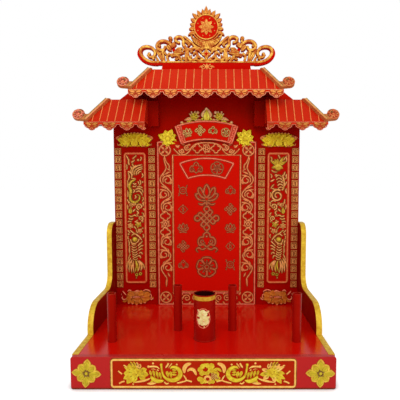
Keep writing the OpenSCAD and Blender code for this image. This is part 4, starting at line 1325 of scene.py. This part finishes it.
def hip_carving(name, roof, eave_x, ridge_x, flip):
    """Edged and beaded strip up the end of a slope, with its curl at the foot."""
    c, length = slope(roof, HIP_T)
    strip = HIP_W / math.sin(math.atan2(length, eave_x - ridge_x))
    half = HIP_W / 2 - 0.9
    far = math.dist((eave_x, 0), (ridge_x, length))
    turn = math.degrees(math.atan2(eave_x - ridge_x, length))
    with c.at(0, 0, flip=flip):
        # up the strip is v here, from the middle of its foot
        with c.at(eave_x - strip / 2, 0, turn):
            c.stroke([(0, far * s) for s in (0.02, 0.5, 0.94)], half + 0.6, 0.5, shape=FLAT)
            for side, slot in ((-1, 1), (1, 2)):
                c.stroke([(half * side, far * s) for s in (0.03, 0.5, 0.935)], 0.75, 1.0,
                         slot=slot)
            for k in range(int(far / 4.4)):
                with c.at(0, (k + 0.5) * 4.1, -turn):
                    c.dome(0, 0, 1.15, 1.3, sides=8, slot=k % 2)
        with c.at(eave_x + CURL_OUT, CURL_UP):
            c.plate(circle(CURL_R - 0.4, 28), 0.2, -0.2, slot=3)
            c.stroke([polar(CURL_R * 0.86 * (1 - 0.115 * t), math.degrees(t))
                      for t in (-1.9 + 0.26 * n for n in range(33))], 1.35, 1.5, slot=1,
                     taper=(0, 0.1))
            for k in c.ring(9):
                c.leaf((5.0, -1.4), (10.2, 1.6), 1.2, 1.3, slot=4 if k % 3 else 0)
                c.stroke(arc(0, 0, CURL_R - 1.1, -15, 15, 5), 1.0, 1.2, slot=2 if k % 2 else 4,
                         taper=(0.3, 0.3))
            with c.at(-3.4, 4.6, 50):
                c.leaf((0, -4), (0, 4), 2.4, 1.7, slot=2)
            c.dome(0, 0, 2.6, 1.6, slot=1)
    # the left curls are pinker than the right ones
    edge, disc, leaves = (("pink_gold_gilt", "curl_lacquer", "pale_pink_gilt") if flip < 0 else
                          ("curl_amber_gilt", "curl_rust_lacquer", "rose_gilt"))
    c.build(name, ["strip_gilt", edge, "olive_gilt", disc, leaves], "edge_gilt")


def make_roofs():
    eave_x = box("centre_roof")[1][0]
    ridge_x = eave_x - SLANT
    eave_carving("centre_eave_carving", "centre_eave", -eave_x, eave_x, -4 * SCALLOP_PITCH,
                 "shell_gilt", "rim_pink_gilt")
    roof_carving("centre_roof_beads", "centre_roof", [(k + 0.5) * BEAD_PITCH for k in range(-9, 9)],
                 eave_x, ridge_x, lambda u: max(0, -u) * 0.022)
    for side, flip in (("left", -1), ("right", 1)):
        hip_carving("centre_hip_%s_carving" % side, "centre_roof", eave_x, ridge_x, flip)
        node = "side_roof_" + side
        low, high, mid, half = box(node)
        inner, outer = sorted((abs(low[0]), abs(high[0])))
        eave_carving("side_eave_%s_carving" % side, "side_eave_" + side, inner, outer, inner + 0.5,
                     "side_shell_gilt", "side_rim_pink_gilt", flip)
        beads = [flip * (inner + 7.5 + SIDE_BEAD_PITCH * k) for k in range(8)]
        ridge = outer - SIDE_SLANT
        roof_carving(node + "_beads", node, beads, outer, ridge, lambda u: 3.5 if u < 0 else 0)
        hip_carving("side_hip_%s_carving" % side, node, outer, ridge, flip)


# ---------------------------------------------------------------- crest

CREST_FACE = 1.6      # how far the carved face lies behind the crest's front


def make_crest():
    low, high, mid, half = box("crest_base")
    deep = high[1] - low[1] - CREST_FACE
    rail, disc_v, collar_r = 18.0, 87.0, 34.5
    reach = box("crest_medallion")[1][2] - low[2] - disc_v

    c = Carving(low[1] + CREST_FACE, 0, low[2])
    with c.through(deep):
        c.plate([(-91, 0), (91, 0), (88.5, 14.5), (-88.5, 14.5)], 0.0, -deep, slot=1)
        c.stroke([(u, rail - 1.6) for u in (-105, 0, 105)], 3.6, 0.3, shape=FLAT, slot=1)
    c.stroke([(u, rail + 0.4) for u in (-104, 0, 104)], 1.9, 1.3, base=0.3)
    for _ in c.both(-1):
        with c.through(deep):
            c.run([(96, 18), (111, 19), (123, 23.6), (130.6, 31.6), (132.8, 40), (129, 46.4),
                   (120.5, 48.8), (110.4, 46.6), (104.4, 40), (104, 32.8), (109, 28.4),
                   (115.4, 29.2), (118.4, 33.6)], swell(2.5, 0.9), 1.4, 2.0)
            c.dome(115.4, 34.6, 3.3, 1.9)
            c.run([(98, 15.2), (112, 16.4), (125, 20.8), (134, 29), (136.6, 38), (134.5, 46)],
                  3.4, 0.2, 2.0, shape=FLAT, slot=1, taper=(0, 0.3))
    # small copper cloud on the foot
    with c.at(1, 9, size=0.75):
        for _ in c.both():
            c.stroke(move(spiral(7, 1.2, 90, 0.2, 18), 10, -1), 1.6, 1.4, slot=2)
            c.leaf((10, 3), (21, -2), 2.6, 1.3, slot=2)
        c.leaf((0, -8), (0, 9), 5.0, 1.8, slot=2)
    c.build("crest_rail", ["crest_gilt", "edge_red", "shell_gilt"], "yellow_gilt", "crest_base")

    c = Carving(low[1] + CREST_FACE, 0, low[2])
    with c.through(deep):
        for _ in c.both(-1):
            crest_scrolls(c)
        with c.at(0, 34.5):
            for _ in c.ring(4):
                c.leaf((0, 0), (0, 10), 4.2, 1.8, shape=CUP)
                with c.at(0, 0, 45):
                    c.leaf((0, 1), (0, 7), 2.8, 1.5, slot=1)
        c.dome(0, 34.5, 3.4, 2.4, slot=1)
        c.plate([(-9, 17), (9, 17), (5, 25), (-5, 25)], 0.6, -deep)
    c.stroke([(-6, 21.4), (0, 24.6), (6, 21.4)], 1.4, 1.4, base=0.4)
    with c.through(deep):
        c.run([(-13, 45), (0, 46), (13, 45)], 2.0, 1.2)
    c.build("crest_scrollwork_carving", ["crest_gilt", "edge_red"], "yellow_gilt",
            "crest_scrollwork")

    c = Carving(low[1] + CREST_FACE, 0, low[2] + disc_v)
    c.plate(circle(25, 40), 0.0, -2.0, slot=1)
    c.plate(circle(30, 40), -0.6, -deep, slot=1)
    for k in range(-7, 8):
        lean = (k > 0) - (k < 0)
        long = reach - 28.2 - (0, 5, 4.2, 2.6, 6, 8, 6.4, 1.4)[abs(k)]
        with c.through(deep), c.at(0, 0, -16.6 * k), c.at(0, 26.5):
            c.leaf((0, -2), (-2.2 * lean, long), 4.4 - 0.5 * (k % 2), 2.0, bend=0.2 * lean,
                   steps=9, late=0.62)
    c.loop(circle(24.0, 40), 1.6, 1.8, base=0.2)
    c.plate(circle(22.6, 36), 0.5, slot=2)
    # rosette in the middle
    for _ in c.ring(8):
        c.leaf((0, 3), (0, 15.5), 3.8, 1.2, base=0.4, shape=CUP)
    for _ in c.ring(8, 22.5):
        c.leaf((0, 2), (0, 9.5), 2.8, 1.0, base=1.2)
        c.dome(0, 18.2, 1.2, 0.9, base=0.4)
    c.dome(0, 0, 3.2, 1.4, base=1.6)
    # crescent collar under the disc
    with c.through(deep):
        c.stroke(arc(0, 0, collar_r, 206, 334, 26), swell(1.0, 5.4), 1.2, shape=FLAT, slot=3)
    for k in range(-7, 8):
        turn = 7.6 * k
        with c.at(0, 0, 180 + turn), c.at(0, collar_r):
            long = 5.4 * math.cos(math.radians(turn * 1.4))
            c.leaf((-1.6, long), (1.6, -long), 1.7, 1.2, base=1.0, slot=3)
    with c.through(deep):
        c.stroke(arc(0, 0, 28.4, 204, 336, 24), 1.1, 2.2, base=0.4)
    c.build("crest_disc", ["flame_gilt", "edge_red", "plaque_red_lacquer", "crest_gilt"],
            "yellow_gilt", "crest_medallion")


def crest_scrolls(c):
    """Right half of the openwork between the rail and the disc."""
    def bar(points, width, taper=(0, 0)):
        c.run(points, width * 1.22, 1.4, 2.0, taper=taper)

    # leaves that lean from the rail onto the end scroll
    c.leaf((87, 17), (103, 44), 3.8, 1.7, bend=0.1)
    c.leaf((94, 18), (103, 31), 2.6, 1.4, bend=-0.1)
    c.dome(107, 25.5, 3.0, 1.6)
    # second scroll
    bar([(85, 43), (92, 42), (98.6, 45.4), (99.2, 52), (95, 57.6), (88, 60), (80, 58.8), (73, 54),
         (67, 47)], 2.7, (0.12, 0))
    c.dome(83, 48, 3.0, 1.9)
    bar([(83, 47), (88, 38.6), (86.5, 29), (85.5, 17)], 2.2)
    bar([(73, 36), (79, 30), (78, 24), (76.5, 17)], 2.2)
    c.leaf((90, 38), (98, 31), 2.2, 1.3)
    c.leaf((80, 52), (70.5, 40), 4.8, 1.9)
    # bud, jewel and the leaves that spring from the red heart
    c.dome(72.5, 65, 4.4, 2.2)
    c.dome(71.5, 59, 2.8, 2.6)
    c.plate([(65.4, 46.4), (71, 52.5), (65.4, 58.6), (59.8, 52.5)], 2.0, -c.sink, bevel=1.0)
    c.dome(65.4, 42, 3.4, 1.6, slot=1)
    c.leaf((63, 41), (48, 47), 4.2, 1.9, bend=0.08)
    c.leaf((67, 38), (44, 36.6), 4.4, 2.2, bend=0.06)
    c.leaf((76, 33), (52, 30), 3.4, 1.7, bend=-0.08)
    c.leaf((58, 31), (47, 19), 3.2, 1.6)
    # third scroll, running down into the stem
    bar([(60, 58), (62.6, 64), (56.5, 68), (49.4, 66.6), (45.8, 60.6), (46.4, 54), (41.6, 46),
         (40, 37), (41, 27), (40, 17)], 2.7)
    c.dome(55.4, 57, 2.8, 1.9)
    bar([(56, 57), (60, 58)], 2.0)
    c.leaf((50, 30), (41, 21), 2.6, 1.5)
    # upper branch along the collar
    bar([(46, 70), (37.4, 63), (29.4, 56.2), (21.4, 48.8), (12, 44.4)], 2.2, (0.2, 0))
    c.leaf((43.6, 61), (32, 54), 3.0, 1.7, bend=0.1)
    bar([(42, 46), (33.6, 43), (23, 46.4), (12, 45)], 2.4)
    # inner scroll and the strokes round the centre flower
    bar([(38, 43), (36.8, 33), (35.4, 25.4), (29, 22.4), (22, 24.6), (17.6, 31.6), (20.8, 37.4),
         (26.4, 35.4)], 2.4, (0, 0.1))
    c.dome(25.6, 34, 2.6, 1.7)
    bar([(22, 43), (13.6, 41.4), (10, 35.4)], 2.2, (0, 0.2))
    bar([(21, 25), (14, 20.6), (8, 23.4), (0, 19.4)], 2.2)
    c.leaf((36, 22), (29, 17), 2.2, 1.3)
    # small leaves that close the heart of the openwork
    c.petals(((14.4, 29, -35, 9, 2.8), (29.6, 39.4, 60, 8, 2.6), (31, 29.6, 15, 8, 2.4),
              (8.6, 43.6, 70, 9, 2.6), (46, 42, 20, 7, 2.4), (52, 40, -70, 8, 2.6),
              (35, 52, 55, 9, 2.4), (70, 31, -60, 9, 2.8), (60, 24.6, 80, 9, 2.8),
              (83, 36, -30, 9, 2.6), (94, 51, 20, 7, 2.2), (9, 26, 100, 8, 2.4)), 1.5)


# ---------------------------------------------------------------- incense tube and holders

def make_tubes():
    low, high, mid, half = box("incense_tube")
    foot, top, r = low[2], high[2], half[0]
    for name, look, slot, profile in (
            ("tube_rim_band", "rim_gilt", "yellow_gilt",
             ((-0.3, top - 8.8), (0.3, top - 8.6), (0.5, top - 5.4), (0.3, top - 2.0),
              (-0.3, top - 1.7))),
            # dark lining inside the tube's mouth and over its top edge
            ("tube_mouth_lining", "tube_mouth_dark", "tube_lacquer",
             ((-2.0, foot + 3.2), (-1.7, foot + 3.0), (-1.7, top + 0.05), (-0.6, top + 0.1),
              (-0.8, top - 0.3), (-2.0, top - 1.0))),
            ("tube_foot_band", "tube_lacquer", "tube_lacquer",
             ((-0.2, foot + 0.1), (0.6, foot + 0.1), (0.6, foot + 1.8), (-0.2, foot + 2.3)))):
        lathe(name, move(profile, r, 0), mid, look)
    c = Carving(mid[1], mid[0], mid[2] + 1.5)
    c.wrap = r
    blossoms = ((-0.5, 7, 0, 0.78, 5), (1, -4, 36, 0.86, 6))
    with c.at(-2, 0):
        oval = [(a * 11.6, b * 16.5) for a, b in circle(1, 28)]
        c.plate(oval, 0.2, -0.3, slot=2)
        c.loop(oval, 0.9, 0.6, slot=1)
        for u, v, turn, size, petals in blossoms:
            with c.at(u, v, turn, size):
                for _ in c.ring(petals):
                    c.petal((0, 1.5), (0, 10), 9.6 * math.sin(math.pi / petals), 0.9)
                c.dome(0, 0, 2.6, 1.215)
        fronds(c, ((-5, -6, 50, 7), (6, 0, -60, 6), (4, -9, -60, 7), (-3, -10, 60, 7),
                   (2, -13, 175, 3), (-6, 3, 70, 5), (6, 10, -60, 5), (-6, 11, 50, 5)), 0.42, 0.7)
        for u, v, *_ in blossoms:
            c.dome(u, v, 1.5, 1.3, slot=1)
    c.build("tube_cartouche", ["cream_gilt", "pink_line_gilt", "red_lacquer"], "yellow_gilt")
    for place in ("front_left", "front_right", "back_left", "back_right"):
        low, high, mid, half = box("holder_" + place)
        lathe("holder_rim_" + place, move(
            ((-0.1, -1.6), (0.35, -1.2), (0.35, -0.2), (0, 0.3), (-1.6, 0.3), (-1.6, -0.4)),
            half[0], high[2]), mid, "tube_lacquer", 32)


for make in (make_base, make_panel, make_plaque, make_columns, make_roofs, make_crest,
             make_tubes):
    make()


# ---------------------------------------------------------------- stage, light and camera

floor_mesh = bpy.data.meshes.new("floor")
floor_mesh.from_pydata([(-6, -6, 0), (6, -6, 0), (6, 8, 0), (-6, 8, 0)], [], [(0, 1, 2, 3)])
floor = bpy.data.objects.new("floor", floor_mesh)
scene.collection.objects.link(floor)

scene.view_settings.view_transform = "Standard"

WHITE = (1, 1, 1, 1)
paper = bpy.data.materials.new("pale_floor")
floor_mesh.materials.append(paper)
f = Nodes(paper)
matte = f.add("BsdfDiffuse", {"Color": (0.8, 0.8, 0.8, 1)})
# the glow fades beside the base, which leaves a thin contact shadow
beside = f.add("AmbientOcclusion", {"Distance": 0.016}).outputs["AO"]
glow = f.times(f.add("LightPath").outputs["Is Camera Ray"], f.span(beside, 0.1, 0.6, 0.5, 0.95))
glow = f.add("Emission", {"Color": WHITE, "Strength": glow})
f.add("OutputMaterial", {"Surface": f.add(
    "AddShader", {0: matte.outputs[0], 1: glow.outputs[0]}).outputs[0]})

scene.world = bpy.data.worlds.new("studio")
f = Nodes(scene.world)
seen = f.add("LightPath").outputs["Is Camera Ray"]
soft, white = (f.add("Background", {"Color": WHITE, "Strength": strength}).outputs[0]
               for strength in (0.55, 1.0))
f.add("OutputWorld", {"Surface": f.add("MixShader", {0: seen, 1: soft, 2: white}).outputs[0]})


def softbox(name, place, target, width, height, watts):
    light = bpy.data.lights.new(name, "AREA")
    light.shape = "RECTANGLE"
    light.size, light.size_y, light.energy = width, height, watts
    lamp = bpy.data.objects.new(name, light)
    lamp.location = place
    lamp.rotation_mode = "QUATERNION"
    lamp.rotation_quaternion = (Vector(target) - Vector(place)).to_track_quat("-Z", "Y")
    scene.collection.objects.link(lamp)


centre = (cad_low + cad_high) / 2
softbox("key", (-0.5, -1.9, 1.7), centre, 1.4, 1.0, 22)
softbox("fill", (1.3, -1.6, 0.9), centre, 1.2, 1.2, 10)

front_y = box("base_front_board")[0][1] * MM
camera = bpy.data.objects.new("camera", bpy.data.cameras.new("camera"))
scene.collection.objects.link(camera)
camera.location = (0.0188, front_y - 0.642, 0.332)
camera.rotation_euler = (math.radians(90 - 4.47), 0, 0)
camera.data.sensor_width, camera.data.lens = 36, 38.7
camera.data.shift_x, camera.data.shift_y = -0.039, 0.02
camera.data.clip_start = 0.01
scene.camera = camera
